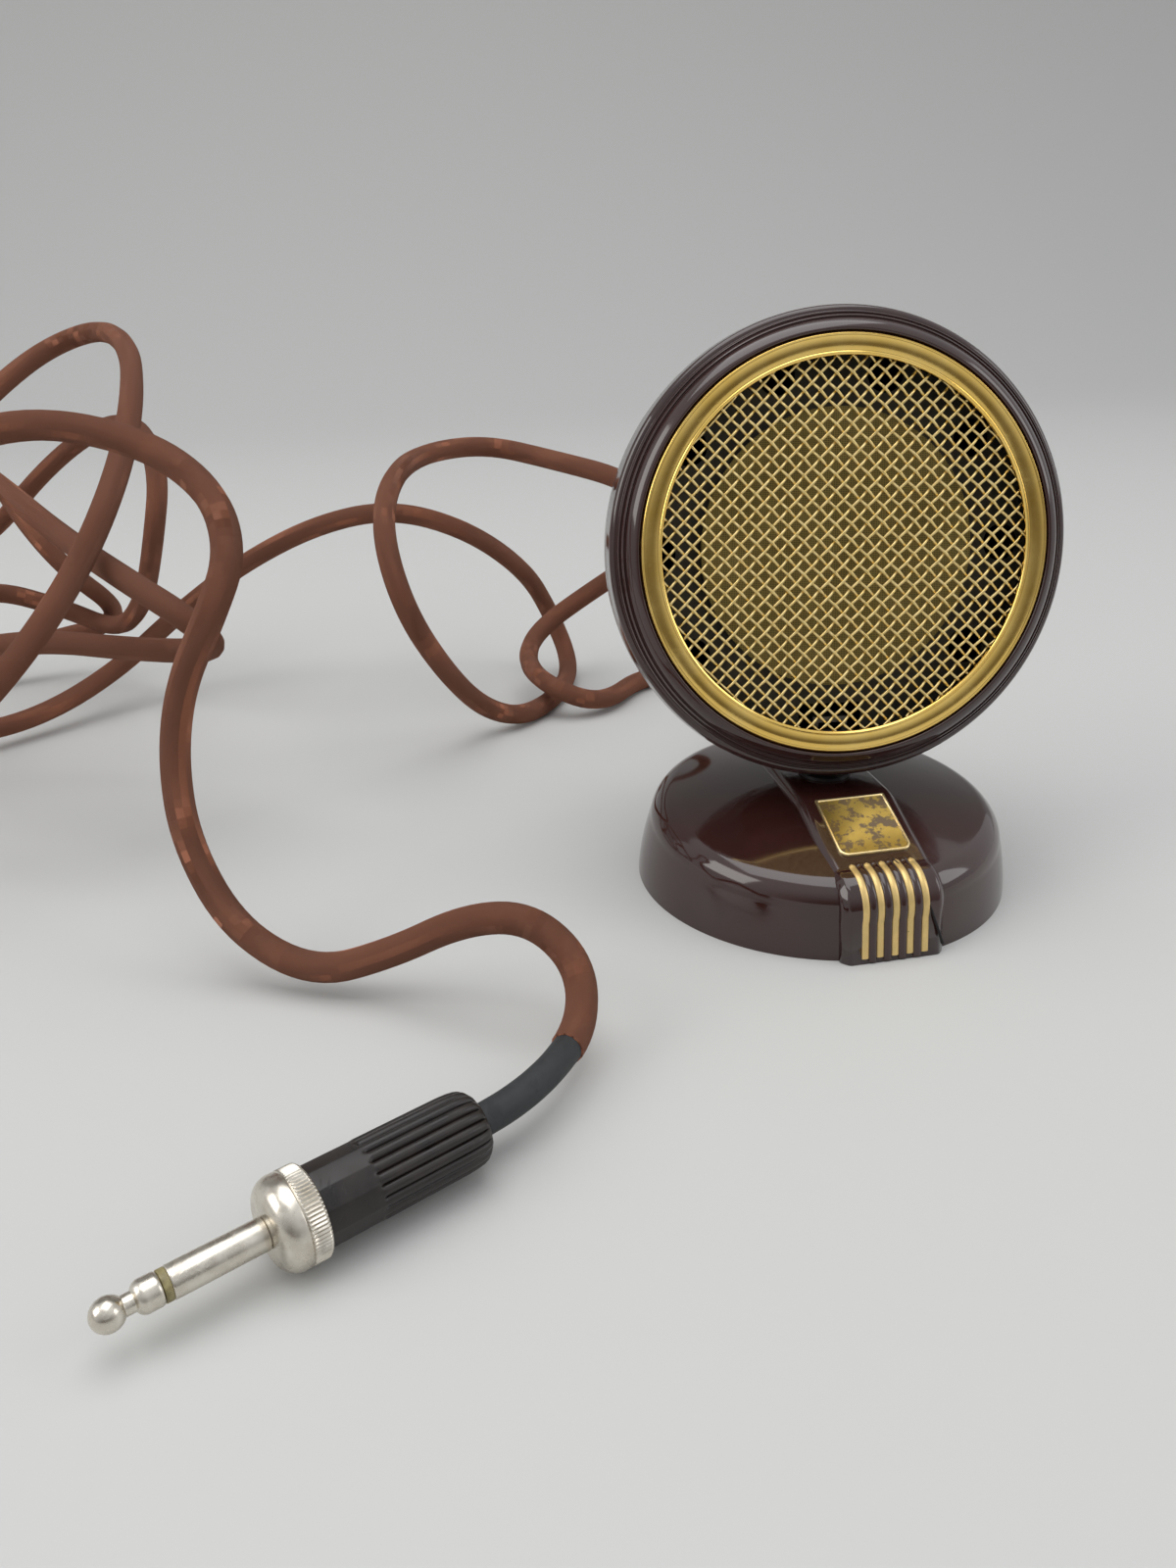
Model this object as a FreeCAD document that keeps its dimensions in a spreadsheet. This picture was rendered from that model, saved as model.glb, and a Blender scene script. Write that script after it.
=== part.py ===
import FreeCAD, Part
import math
import os
import Sketcher
from FreeCAD import Placement, Rotation, Vector

# Table microphone on a swivelling post: a round head with a woven wire grille, a domed foot, a braided
# cord and a jack plug. Millimetres. The origin is the middle of the foot on the table, the foot's front
# faces -Y and +Z is up.

doc = FreeCAD.newDocument("table_microphone")
sheet = doc.addObject("Spreadsheet::Sheet", "Sizes")

SIZES = {
    # foot: a turned dome whose axis leans, so that its back stands higher than its front
    "foot_lean": 4.0,
    "foot_setback": 1.2,
    "foot_radius": 53.8,
    "foot_skirt": 6.0,
    "waist_inset": 1.4,
    "waist_height": 10.0,
    "shoulder_inset": 3.2,
    "shoulder_height": 17.0,
    "shoulder_mid_inset": 4.8,
    "shoulder_mid_height": 21.3,
    "crown_edge_inset": 9.3,
    "crown_edge_height": 24.0,
    "crown_height": 29.6,
    "foot_wall": 3.0,
    # raised band that runs over the foot from front to back
    "band_width": 24.8,
    "band_front_inset": 0.2,
    "band_back_over": 2.0,
    "platform_height": 31.5,
    "platform_front": 16.5,
    "platform_back": 26.0,
    "slope_end_inset": 11.8,
    "slope_end_height": 22.2,
    "band_bend_inset": 3.4,
    "band_bend_height": 18.2,
    "band_wall_inset": 1.8,
    "band_wall_height": 11.0,
    "band_rear_inset": 6.1,
    "band_rear_height": 28.4,
    "band_rear_bend_inset": 1.2,
    "band_rear_bend_height": 25.4,
    "band_rear_wall_over": 1.0,
    "band_rear_wall_height": 19.0,
    # badge plate and inlaid stripes
    "badge_width": 20.3,
    "badge_length": 21.4,
    "badge_thick": 0.8,
    "badge_corner": 2.6,
    "badge_start": 1.6,
    "stripe_width": 1.9,
    "stripe_pitch": 4.15,
    "stripe_count": 5,
    "stripe_proud": 0.25,
    "stripe_low": 1.2,
    "stripe_high": 19.6,
    # under the foot
    "cover_low": 1.0,
    "cover_thick": 1.5,
    "cover_inset": 5.4,
    "felt_inset": 7.3,
    "felt_inner_inset": 18.8,
    "weight_inset": 20.8,
    "weight_hole": 14.0,
    "weight_thick": 7.5,
    "screw_count": 3,
    "screw_inset": 13.8,
    "screw_boss": 3.6,
    "screw_radius": 1.5,
    "screw_head": 2.8,
    "screw_head_thick": 0.9,
    "screw_length": 10.0,
    "screw_gap": 0.1,
    # swivel post
    "post_radius": 5.0,
    "post_collar": 7.5,
    "post_collar_thick": 0.9,
    "boss_radius": 10.0,
    "boss_low": 14.0,
    "bush_wall": 1.4,
    "run_gap": 0.05,
    "washer_radius": 8.6,
    "washer_thick": 0.8,
    "nut_across": 14.0,
    "nut_thick": 4.5,
    "post_tail": 1.5,
    "tongue_thick": 6.0,
    "tongue_wide": 9.0,
    "pin_rise": 10.5,
    "pin_back": 1.5,
    "pin_radius": 2.0,
    "pin_length": 14.0,
    # head: depths are counted backwards from the plane of the brass ring's front
    "swivel_rest": -7.4,
    "head_lean": 12.0,
    "pin_inset": 6.0,
    "head_forward": 7.8,
    "head_radius": 62.5,
    "ring_inset": 8.1,
    "ring_width": 5.7,
    "ring_depth": 1.75,
    "ring_crown": 0.5,
    "ring_gap": 0.3,
    "seat_inset": 10.8,
    "web_back": 4.8,
    "parting_depth": 17.0,
    "head_wall": 2.6,
    "shell_bulge_depth": 30.0,
    "shell_bulge_inset": 4.3,
    "shell_turn_depth": 41.0,
    "shell_turn_inset": 16.5,
    "shell_depth": 49.0,
    "slot_width": 8.4,
    "slot_front": 12.2,
    "slot_back": 29.8,
    "wire_radius": 0.42,
    "wire_pitch": 3.0,
    "warp_depth": 2.45,
    "weft_depth": 3.40,
    "rim_split": 2.9,
    "rim_inner_inset": 13.6,
    "rim_outer_inset": 11.1,
    "clip_outer_inset": 9.5,
    "clip_inner_inset": 13.3,
    "clip_thick": 0.8,
    "gauze_radius": 37.0,
    "gauze_thick": 0.4,
    "capsule_front": 10.0,
    "capsule_radius": 33.0,
    "capsule_flange": 37.0,
    "capsule_flange_thick": 2.0,
    "capsule_back": 27.0,
    "magnet_radius": 17.0,
    "magnet_back": 38.0,
    "cushion_outer": 36.0,
    "plate_front": 15.6,
    "plate_thick": 1.4,
    "plate_inset": 3.1,
    "plate_notch": 18.0,
    "notch_inset": 19.5,
    "plate_hole": 5.0,
    "hole_inset": 14.5,
    "ear_thick": 1.6,
    "ear_gap": 0.3,
    "ear_width": 11.0,
    "ear_above": 6.5,
    "ear_below": 4.2,
    "rear_screw_circle": 52.0,
    "rear_screw_radius": 1.4,
    "rear_screw_head": 2.6,
    "rear_screw_turn": 30.0,
    # cord, grommet, sleeve and plug
    "cord_diameter": 7.8,
    "cord_lead": 10.0,
    "grommet_height": 9.0,
    "grommet_neck": 4.8,
    "grommet_flange": 6.6,
    "grommet_nose": 5.0,
    "grommet_flange_thick": 2.0,
    "grommet_over": 8.2,
    "grommet_gap": 0.2,
    "plug_tip_x": -181.5,
    "plug_tip_y": -137.5,
    "plug_height": 9.5,
    "plug_turn": 27.0,
    "ball_radius": 3.15,
    "neck_radius": 1.9,
    "neck_place": 4.3,
    "tip_length": 9.0,
    "insulator_length": 1.4,
    "shaft_radius": 3.175,
    "shaft_end": 28.3,
    "collar_radius": 9.3,
    "collar_face": 5.4,
    "collar_round": 3.6,
    "collar_end": 37.5,
    "handle_radius": 8.2,
    "handle_rear_radius": 7.5,
    "handle_end": 74.0,
    "flute_start": 48.5,
    "flute_radius": 0.75,
    "flute_count": 20,
    "sleeve_diameter": 7.0,
    "sleeve_turn": 30.0,
    "sleeve_length": 31.0,
}
for row, (alias, value) in enumerate(SIZES.items(), 1):
    sheet.set(f"A{row}", alias)
    sheet.set(f"B{row}", str(value))
    sheet.setAlias(f"B{row}", alias)
doc.recompute()


def size(alias):
    return float(sheet.get(alias))


def bound(text):
    """The spreadsheet form of an expression written with plain aliases."""
    words = sorted((w for w in SIZES if w in text), key=len, reverse=True)
    for number, word in enumerate(words):
        text = text.replace(word, f"#{number}#")
    for number, word in enumerate(words):
        text = text.replace(f"#{number}#", f"Sizes.{word}")
    return text


def worked(text):
    """The value of such an expression, from the sheet's own evaluation."""
    return float(sheet.evalExpression(bound(text).replace("Sizes.", "")))


def plane_of(body, role):
    return next(o for o in body.Origin.OriginFeatures if o.Role == role)


def draw(body, plane, outline):
    """A closed sketch. Each entry is the next corner, or a middle and an end point for an arc."""
    sketch = body.newObject("Sketcher::SketchObject", body.Name + "_outline")
    sketch.AttachmentSupport = [(plane_of(body, plane), "")]
    sketch.MapMode = "FlatFace"
    ends = [entry[-2:] for entry in outline]
    places = [Vector(worked(x), worked(y), 0) for x, y in ends]
    pieces = []
    for k, entry in enumerate(outline):
        start, end = places[k - 1], places[k]
        if len(entry) == 2:
            pieces.append(sketch.addGeometry(Part.LineSegment(start, end)))
        else:
            middle = Vector(worked(entry[0]), worked(entry[1]), 0)
            if (middle - start).cross(end - middle).z < 0:
                start, end = end, start
            pieces.append(sketch.addGeometry(Part.Arc(start, middle, end)))
    corner = []
    for k, piece in enumerate(pieces):
        flipped = (sketch.getPoint(piece, 1) - places[k - 1]).Length > 1e-6
        corner.append((2, 1) if flipped else (1, 2))
    for k, piece in enumerate(pieces):
        following = (k + 1) % len(pieces)
        sketch.addConstraint(Sketcher.Constraint(
            "Coincident", piece, corner[k][1], pieces[following], corner[following][0]))
        fix(sketch, piece, corner[k][1], *ends[k])
        if len(outline[k]) == 4:
            mark = sketch.addGeometry(Part.Point(Vector(worked(outline[k][0]), worked(outline[k][1]), 0)), True)
            fix(sketch, mark, 1, *outline[k][:2])
            sketch.addConstraint(Sketcher.Constraint("PointOnObject", mark, 1, piece))
    return sketch


def fix(sketch, piece, point, x_text, y_text):
    """Ties one point of a sketch to two expressions."""
    for kind, text in (("DistanceX", x_text), ("DistanceY", y_text)):
        number = sketch.addConstraint(Sketcher.Constraint(kind, -1, 1, piece, point, worked(text)))
        sketch.setExpression(f"Constraints[{number}]", bound(text))


def body_named(label):
    body = doc.addObject("PartDesign::Body", label)
    body.Label = label
    return body


def turned(label, outline, angle=360):
    """A turned body. The outline's first number is a radius and its second lies along the axis, +Z."""
    body = body_named(label)
    sketch = draw(body, "XZ_Plane", outline)
    turn = body.newObject("PartDesign::Revolution", label + "_turn")
    turn.Profile = sketch
    turn.ReferenceAxis = (sketch, ["V_Axis"])
    turn.Angle = angle
    sketch.Visibility = False
    doc.recompute()
    return body


def raised(label, outline, length, plane="XY_Plane", midplane=False):
    """A body drawn on one plane and raised off it."""
    body = body_named(label)
    sketch = draw(body, plane, outline)
    pad = body.newObject("PartDesign::Pad", label + "_pad")
    pad.Profile = sketch
    pad.setExpression("Length", bound(length))
    if midplane:
        pad.SideType = 2
    doc.recompute()
    return body


def primitive(kind, label, **sizes):
    shape = doc.addObject(kind, label)
    shape.Label = label
    for name, text in sizes.items():
        shape.setExpression(name, bound(text))
    doc.recompute()
    return shape


def joined(label, *pieces):
    fuse = doc.addObject("Part::MultiFuse", label)
    fuse.Label = label
    fuse.Shapes = list(pieces)
    doc.recompute()
    return fuse


def cut(label, solid, tool):
    result = doc.addObject("Part::Cut", label)
    result.Label = label
    result.Base = solid
    result.Tool = tool
    doc.recompute()
    return result


made = []


def keep(piece, place=None):
    """Lists a finished sub-part and sets where it lies."""
    if place is not None:
        piece.Placement = place
    made.append(piece)
    return piece


def shape_part(label, shape, place=None):
    """A sub-part whose shape comes from swept or patterned solids."""
    part = doc.addObject("Part::Feature", label)
    part.Label = label
    part.Shape = shape
    if place is not None:
        part.Placement = place
    made.append(part)
    return part


def cap(edge_radius, edge_height, top):
    """The arc of a shallow cap, from its edge to its top on the axis. The arc's centre lies on the axis."""
    rise = f"({top} - ({edge_height}))"
    ball = f"((({edge_radius}) ^ 2 + {rise} ^ 2) / (2 * {rise}))"
    middle = f"(({edge_radius}) / 2)"
    return middle, f"{top} - {ball} + sqrt({ball} ^ 2 - {middle} ^ 2)", "0", top


# Places that several sub-parts share
lean = Placement(Vector(0, size("foot_setback"), 0), Rotation(Vector(1, 0, 0), size("foot_lean")))
swivel = Placement(Vector(), Rotation(Vector(0, 0, 1), size("swivel_rest")))
head_place = swivel.multiply(Placement(
    Vector(0, -size("head_forward"), worked("platform_height + pin_rise + head_radius - pin_inset")),
    Rotation(Vector(1, 0, 0), -90 - size("head_lean"))))
pin_place = Vector(0, size("pin_back"), worked("platform_height + pin_rise"))
pin_local = head_place.inverse().multiply(swivel).multVec(pin_place)
pin_down, pin_depth = pin_local.y, pin_local.z

# Foot shell
dome = turned("dome", [
    ("0", "-foot_skirt"),
    ("foot_radius + foot_skirt / 15", "-foot_skirt"),
    ("foot_radius", "0"),
    ("foot_radius - waist_inset", "waist_height"),
    ("foot_radius - shoulder_inset", "shoulder_height"),
    ("foot_radius - shoulder_mid_inset", "shoulder_mid_height",
     "foot_radius - crown_edge_inset", "crown_edge_height"),
    cap("foot_radius - crown_edge_inset", "crown_edge_height", "crown_height"),
])
dome.Placement = lean
band = raised("band", [
    ("-(foot_radius - band_front_inset)", "0"),
    ("-(foot_radius - band_wall_inset)", "band_wall_height"),
    ("band_bend_inset - foot_radius", "band_bend_height",
     "slope_end_inset - foot_radius", "slope_end_height"),
    ("-platform_front", "platform_height"),
    ("platform_back", "platform_height"),
    ("foot_radius - band_rear_inset", "band_rear_height"),
    ("foot_radius - band_rear_bend_inset", "band_rear_bend_height",
     "foot_radius + band_rear_wall_over", "band_rear_wall_height"),
    ("foot_radius + band_back_over", "0"),
], "band_width", "YZ_Plane", midplane=True)
hollow = turned("hollow", [
    ("0", "-foot_skirt - foot_wall"),
    ("foot_radius - foot_wall", "-foot_skirt - foot_wall"),
    ("foot_radius - foot_wall", "0"),
    ("foot_radius - waist_inset - foot_wall", "waist_height"),
    ("foot_radius - shoulder_inset - foot_wall", "shoulder_height - foot_wall / 3"),
    ("foot_radius - crown_edge_inset - foot_wall", "crown_edge_height - foot_wall"),
    cap("foot_radius - crown_edge_inset - foot_wall", "crown_edge_height - foot_wall",
        "crown_height - foot_wall"),
])
hollow.Placement = lean
outside = joined("outside", dome, band)
opened = cut("opened", outside, hollow)
boss = primitive("Part::Cylinder", "boss", Radius="boss_radius",
                 Height="platform_height - boss_low - foot_wall / 3")
boss.Placement = Placement(Vector(0, 0, size("boss_low")), Rotation())
post_bore = primitive("Part::Cylinder", "post_bore", Radius="post_radius + run_gap + bush_wall",
                      Height="platform_height * 2")
screw_spots = []
screw_bosses = []
screw_bores = []
for k in range(int(size("screw_count"))):
    turn = math.radians(90 + 360 / size("screw_count") * k)
    spot = Vector(math.cos(turn), math.sin(turn), 0) * worked("foot_radius - screw_inset")
    screw_spots.append(Placement(spot, Rotation()))
    rise = spot.y * math.tan(math.radians(size("foot_lean")))
    pillar = primitive("Part::Cylinder", f"pillar_{k + 1}", Radius="screw_boss",
                       Height=f"crown_edge_height - foot_wall / 2 - cover_low - cover_thick + {rise}")
    pillar.Placement = Placement(spot + Vector(0, 0, size("cover_low") + size("cover_thick")), Rotation())
    bore = primitive("Part::Cylinder", f"screw_bore_{k + 1}", Radius="screw_radius + screw_gap",
                     Height="screw_length + cover_low + screw_gap")
    bore.Placement = screw_spots[-1]
    screw_bosses.append(pillar)
    screw_bores.append(bore)
cord_hole = primitive("Part::Cylinder", "cord_hole", Radius="grommet_neck + grommet_gap", Height="foot_radius")
cord_hole.Placement = Placement(Vector(0, worked("foot_radius + band_back_over") / 1.4, size("grommet_height")),
                                Rotation(Vector(1, 0, 0), -90))
below = primitive("Part::Box", "below", Length="foot_radius * 4", Width="foot_radius * 4",
                  Height="foot_skirt * 4")
below.Placement = Placement(Vector(-2 * size("foot_radius"), -2 * size("foot_radius"), -4 * size("foot_skirt")),
                            Rotation())
filled = joined("filled", opened, boss, *screw_bosses)
holes = joined("holes", post_bore, cord_hole, below, *screw_bores)
keep(cut("base_shell", filled, holes))

# Badge plate, bare, on the band's front slope
slope = math.atan2(worked("platform_height - slope_end_height"),
                   worked("foot_radius - slope_end_inset - platform_front"))
along = Vector(0, -math.cos(slope), -math.sin(slope))
plate_top = Vector(0, -size("platform_front"), size("platform_height")) + along * size("badge_start")
badge = raised("badge_plate", [
    ("-badge_width / 2", "0"),
    ("-badge_width / 2", "-badge_length + badge_corner"),
    ("-badge_width / 2 + badge_corner * (1 - sqrt(0.5))", "-badge_length + badge_corner * (1 - sqrt(0.5))",
     "-badge_width / 2 + badge_corner", "-badge_length"),
    ("badge_width / 2 - badge_corner", "-badge_length"),
    ("badge_width / 2 - badge_corner * (1 - sqrt(0.5))", "-badge_length + badge_corner * (1 - sqrt(0.5))",
     "badge_width / 2", "-badge_length + badge_corner"),
    ("badge_width / 2", "0"),
], "badge_thick")
keep(badge, Placement(plate_top, Rotation(Vector(1, 0, 0), math.degrees(slope))))

# Inlaid stripes, a thin skin that follows the band's front wall and bend
wall_foot = Vector(0, worked("band_front_inset - foot_radius"), 0)
wall_top = Vector(0, worked("band_wall_inset - foot_radius"), size("band_wall_height"))
wall_line = Part.LineSegment(wall_foot, wall_top)
bend_line = Part.Arc(wall_top,
                     Vector(0, -worked("foot_radius - band_bend_inset"), size("band_bend_height")),
                     Vector(0, -worked("foot_radius - slope_end_inset"), size("slope_end_height")))
front_line = Part.Wire([wall_line.toShape(), bend_line.toShape()])
skin = front_line.makeOffset2D(-size("stripe_proud"), 0, True, True)
for k in range(int(size("stripe_count"))):
    across = (k - (size("stripe_count") - 1) / 2) * size("stripe_pitch")
    strip = skin.extrude(Vector(size("stripe_width"), 0, 0))
    strip.translate(Vector(across - size("stripe_width") / 2, 0, 0))
    corner = Vector(across - size("stripe_width"), worked("-foot_radius - stripe_width"), size("stripe_low"))
    window = Part.makeBox(2 * size("stripe_width"), size("foot_radius"),
                          worked("stripe_high - stripe_low"), corner)
    shape_part(f"gilt_stripe_{k + 1}", strip.common(window))

# Weight, cover, felt and screws under the foot
cover_top = "cover_low + cover_thick"
cover_disc = turned("cover_disc", [
    ("0", "cover_low"),
    ("foot_radius - cover_inset", "cover_low"),
    ("foot_radius - cover_inset", cover_top),
    ("0", cover_top),
])
screw_wells = []
for k, spot in enumerate(screw_spots):
    shank_hole = primitive("Part::Cylinder", f"shank_hole_{k + 1}", Radius="screw_radius + screw_gap",
                           Height=cover_top)
    shank_hole.Placement = spot
    head_hole = primitive("Part::Cylinder", f"head_hole_{k + 1}", Radius="screw_head + screw_gap",
                          Height="cover_low + screw_head_thick")
    head_hole.Placement = spot
    screw_wells += [shank_hole, head_hole]
    keep(turned(f"base_screw_{k + 1}", [
        ("0", "cover_low"),
        ("screw_head", "cover_low"),
        ("screw_head", "cover_low + screw_head_thick"),
        ("screw_radius", "cover_low + screw_head_thick"),
        ("screw_radius", "screw_length"),
        ("0", "screw_length"),
    ]), spot)
keep(cut("base_cover", cover_disc, joined("wells", *screw_wells)))
keep(turned("felt_pad", [
    ("foot_radius - felt_inner_inset", "0"),
    ("foot_radius - felt_inset", "0"),
    ("foot_radius - felt_inset", "cover_low"),
    ("foot_radius - felt_inner_inset", "cover_low"),
]))
keep(turned("base_weight", [
    ("weight_hole", cover_top), ("foot_radius - weight_inset", cover_top),
    ("foot_radius - weight_inset", cover_top + " + weight_thick - foot_wall / 2"),
    ("foot_radius - weight_inset - foot_wall / 2", cover_top + " + weight_thick"),
    ("weight_hole", cover_top + " + weight_thick")]))

# Bush, post, washer and nut
keep(turned("post_bush", [
    ("post_radius + run_gap", "boss_low"),
    ("post_radius + run_gap + bush_wall", "boss_low"),
    ("post_radius + run_gap + bush_wall", "platform_height"),
    ("post_radius + run_gap", "platform_height"),
]))
tail_low = "boss_low - washer_thick - nut_thick - post_tail"
collar_top = "platform_height + post_collar_thick"
stem = turned("stem", [
    ("0", tail_low),
    ("post_radius - post_tail / 3", tail_low),
    ("post_radius", tail_low + " + post_tail / 3"),
    ("post_radius", "platform_height"),
    ("post_collar", "platform_height"),
    ("post_collar", collar_top),
    ("0", collar_top),
])
tongue = raised("tongue", [
    ("pin_back - tongue_wide / 2", "platform_height"),
    ("pin_back + tongue_wide / 2", "platform_height"),
    ("pin_back + tongue_wide / 2", "platform_height + pin_rise"),
    ("pin_back", "platform_height + pin_rise + tongue_wide / 2",
     "pin_back - tongue_wide / 2", "platform_height + pin_rise"),
], "tongue_thick", "YZ_Plane", midplane=True)
eye = primitive("Part::Cylinder", "eye", Radius="pin_radius + run_gap", Height="tongue_thick * 2")
eye.Placement = Placement(Vector(-size("tongue_thick"), size("pin_back"), worked("platform_height + pin_rise")),
                          Rotation(Vector(0, 1, 0), 90))
keep(cut("swivel_post", joined("post_blank", stem, tongue), eye), swivel)
keep(turned("post_washer", [
    ("post_radius + run_gap", "boss_low - washer_thick"),
    ("washer_radius", "boss_low - washer_thick"),
    ("washer_radius", "boss_low"),
    ("post_radius + run_gap", "boss_low"),
]), swivel)
nut_blank = primitive("Part::Prism", "nut_blank", Circumradius="nut_across / sqrt(3)", Height="nut_thick")
nut_blank.Placement = Placement(Vector(0, 0, worked("boss_low - washer_thick - nut_thick")), Rotation())
nut_bore = primitive("Part::Cylinder", "nut_bore", Radius="post_radius + run_gap", Height="boss_low")
keep(cut("post_nut", nut_blank, nut_bore), swivel)

# Head: bezel with its fine ribs, brass ring and rear shell
bezel_blank = turned("bezel_blank", [
    ("head_radius - seat_inset", "ring_depth"),
    ("head_radius - ring_inset + ring_gap", "ring_depth"),
    ("head_radius - ring_inset + ring_gap", "ring_crown"),
    ("head_radius - ring_inset + 4 * ring_gap", "ring_gap"),
    ("head_radius - ring_inset + 7 * ring_gap", "web_back / 4",
     "head_radius - ring_inset + 10 * ring_gap", "web_back / 2"),
    ("head_radius - ring_inset + 12 * ring_gap", "web_back / 2"),
    ("head_radius - ring_inset + 13 * ring_gap", "web_back * 0.8"),
    ("head_radius - ring_inset + 15 * ring_gap", "web_back * 0.8"),
    ("head_radius - ring_inset + 16 * ring_gap", "web_back * 1.1"),
    ("head_radius - ring_inset + 18 * ring_gap", "web_back * 1.1"),
    ("head_radius - ring_inset + 19 * ring_gap", "web_back * 1.5"),
    ("head_radius - ring_inset + 22 * ring_gap", "web_back * 1.55"),
    ("head_radius - ring_gap", "web_back * 1.9", "head_radius", "web_back * 2.4"),
    ("head_radius", "parting_depth"),
    ("head_radius - head_wall", "parting_depth"),
    ("head_radius - head_wall", "web_back * 2.3"),
    ("head_radius - 2 * head_wall", "web_back * 1.5",
     "head_radius - clip_outer_inset + ring_gap", "web_back"),
    ("head_radius - seat_inset", "web_back"),
])
inner_cap = cap("head_radius - shell_turn_inset - head_wall / 2", "shell_turn_depth - head_wall",
                "shell_depth - head_wall")
shell_blank = turned("shell_blank", [
    ("head_radius", "parting_depth"),
    ("head_radius - shell_bulge_inset", "shell_bulge_depth",
     "head_radius - shell_turn_inset", "shell_turn_depth"),
    cap("head_radius - shell_turn_inset", "shell_turn_depth", "shell_depth"),
    ("0", "shell_depth - head_wall"),
    (*inner_cap[:2], "head_radius - shell_turn_inset - head_wall / 2", "shell_turn_depth - head_wall"),
    ("head_radius - shell_bulge_inset - head_wall", "shell_bulge_depth - head_wall / 3",
     "head_radius - head_wall", "parting_depth"),
])
for label, blank in (("head_bezel", bezel_blank), ("rear_shell", shell_blank)):
    slot = primitive("Part::Box", label + "_slot", Length="slot_width", Width="head_radius / 4",
                     Height="slot_back - slot_front")
    slot.Placement = Placement(Vector(-size("slot_width") / 2, size("head_radius") * 0.85, size("slot_front")),
                               Rotation())
    keep(cut(label, blank, slot), head_place)
keep(turned("grille_ring", [
    ("head_radius - ring_inset - ring_width", "ring_depth"),
    ("head_radius - ring_inset", "ring_depth"),
    ("head_radius - ring_inset", "ring_crown * 1.6"),
    ("head_radius - ring_inset - ring_width / 2", "-ring_crown",
     "head_radius - ring_inset - ring_width + ring_crown", "ring_crown"),
    ("head_radius - ring_inset - ring_width", "ring_crown * 2"),
]), head_place)

# Woven wire grille: two sets of parallel wires, each in its own rim
reach = worked("head_radius - rim_inner_inset") + size("ring_gap")
for label, depth, turn, low, high in (
    ("grille_warp", size("warp_depth"), 45, size("ring_depth"), size("rim_split")),
    ("grille_weft", size("weft_depth"), -45, size("rim_split"), size("web_back")),
):
    rim = Part.makeCylinder(worked("head_radius - rim_outer_inset"), high - low, Vector(0, 0, low))
    rim = rim.cut(Part.makeCylinder(worked("head_radius - rim_inner_inset"), high - low, Vector(0, 0, low)))
    wires = []
    count = int(reach / size("wire_pitch"))
    for k in range(-count, count + 1):
        offset = k * size("wire_pitch")
        half = math.sqrt(reach ** 2 - offset ** 2)
        wires.append(Part.makeCylinder(size("wire_radius"), 2 * half, Vector(-half, offset, depth),
                                       Vector(1, 0, 0)))
    grid = rim.multiFuse(wires)
    shape_part(label, grid, head_place.multiply(Placement(Vector(), Rotation(Vector(0, 0, 1), turn))))
keep(turned("grille_clip", [
    ("head_radius - clip_inner_inset", "web_back"), ("head_radius - clip_outer_inset", "web_back"),
    ("head_radius - clip_outer_inset", "web_back + clip_thick"),
    ("head_radius - clip_inner_inset", "web_back + clip_thick")]), head_place)

# Capsule with its gauze, cushion and mounting plate
keep(turned("fine_gauze", [
    ("0", "capsule_front - gauze_thick"), ("gauze_radius", "capsule_front - gauze_thick"),
    ("gauze_radius", "capsule_front"), ("0", "capsule_front")]), head_place)
keep(turned("capsule_body", [
    ("0", "capsule_front"),
    ("capsule_flange", "capsule_front"),
    ("capsule_flange", "capsule_front + capsule_flange_thick"),
    ("capsule_radius", "capsule_front + capsule_flange_thick"),
    ("capsule_radius", "capsule_back - capsule_flange_thick"),
    ("capsule_radius - capsule_flange_thick", "capsule_back"),
    ("0", "capsule_back"),
]), head_place)
keep(turned("capsule_magnet", [
    ("0", "capsule_back"),
    ("magnet_radius", "capsule_back"),
    ("magnet_radius", "magnet_back - capsule_flange_thick / 2"),
    ("magnet_radius - capsule_flange_thick / 2", "magnet_back"),
    ("0", "magnet_back"),
]), head_place)
keep(turned("capsule_cushion", [
    ("capsule_radius + ring_gap", "capsule_front + capsule_flange_thick"),
    ("cushion_outer", "capsule_front + capsule_flange_thick"),
    ("cushion_outer", "plate_front + plate_thick"),
    ("capsule_radius + ring_gap", "plate_front + plate_thick"),
]), head_place)
plate_blank = turned("plate_blank", [
    ("cushion_outer + ring_gap", "plate_front"), ("head_radius - plate_inset", "plate_front"),
    ("head_radius - plate_inset", "plate_front + plate_thick"),
    ("cushion_outer + ring_gap", "plate_front + plate_thick")])
notch = primitive("Part::Box", "notch", Length="plate_notch", Width="head_radius", Height="plate_front * 2")
notch.Placement = Placement(Vector(-size("plate_notch") / 2, worked("head_radius - notch_inset"), 0),
                            Rotation())
vents = []
for k in range(8):
    turn = math.radians(-90 + 36 * (k - 3.5))
    vent = primitive("Part::Cylinder", f"vent_{k + 1}", Radius="plate_hole", Height="plate_front * 2")
    vent.Placement = Placement(Vector(worked("head_radius - hole_inset") * math.cos(turn),
                                      worked("head_radius - hole_inset") * math.sin(turn), 0), Rotation())
    vents.append(vent)
keep(cut("capsule_plate", plate_blank, joined("plate_openings", notch, *vents)), head_place)

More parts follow.
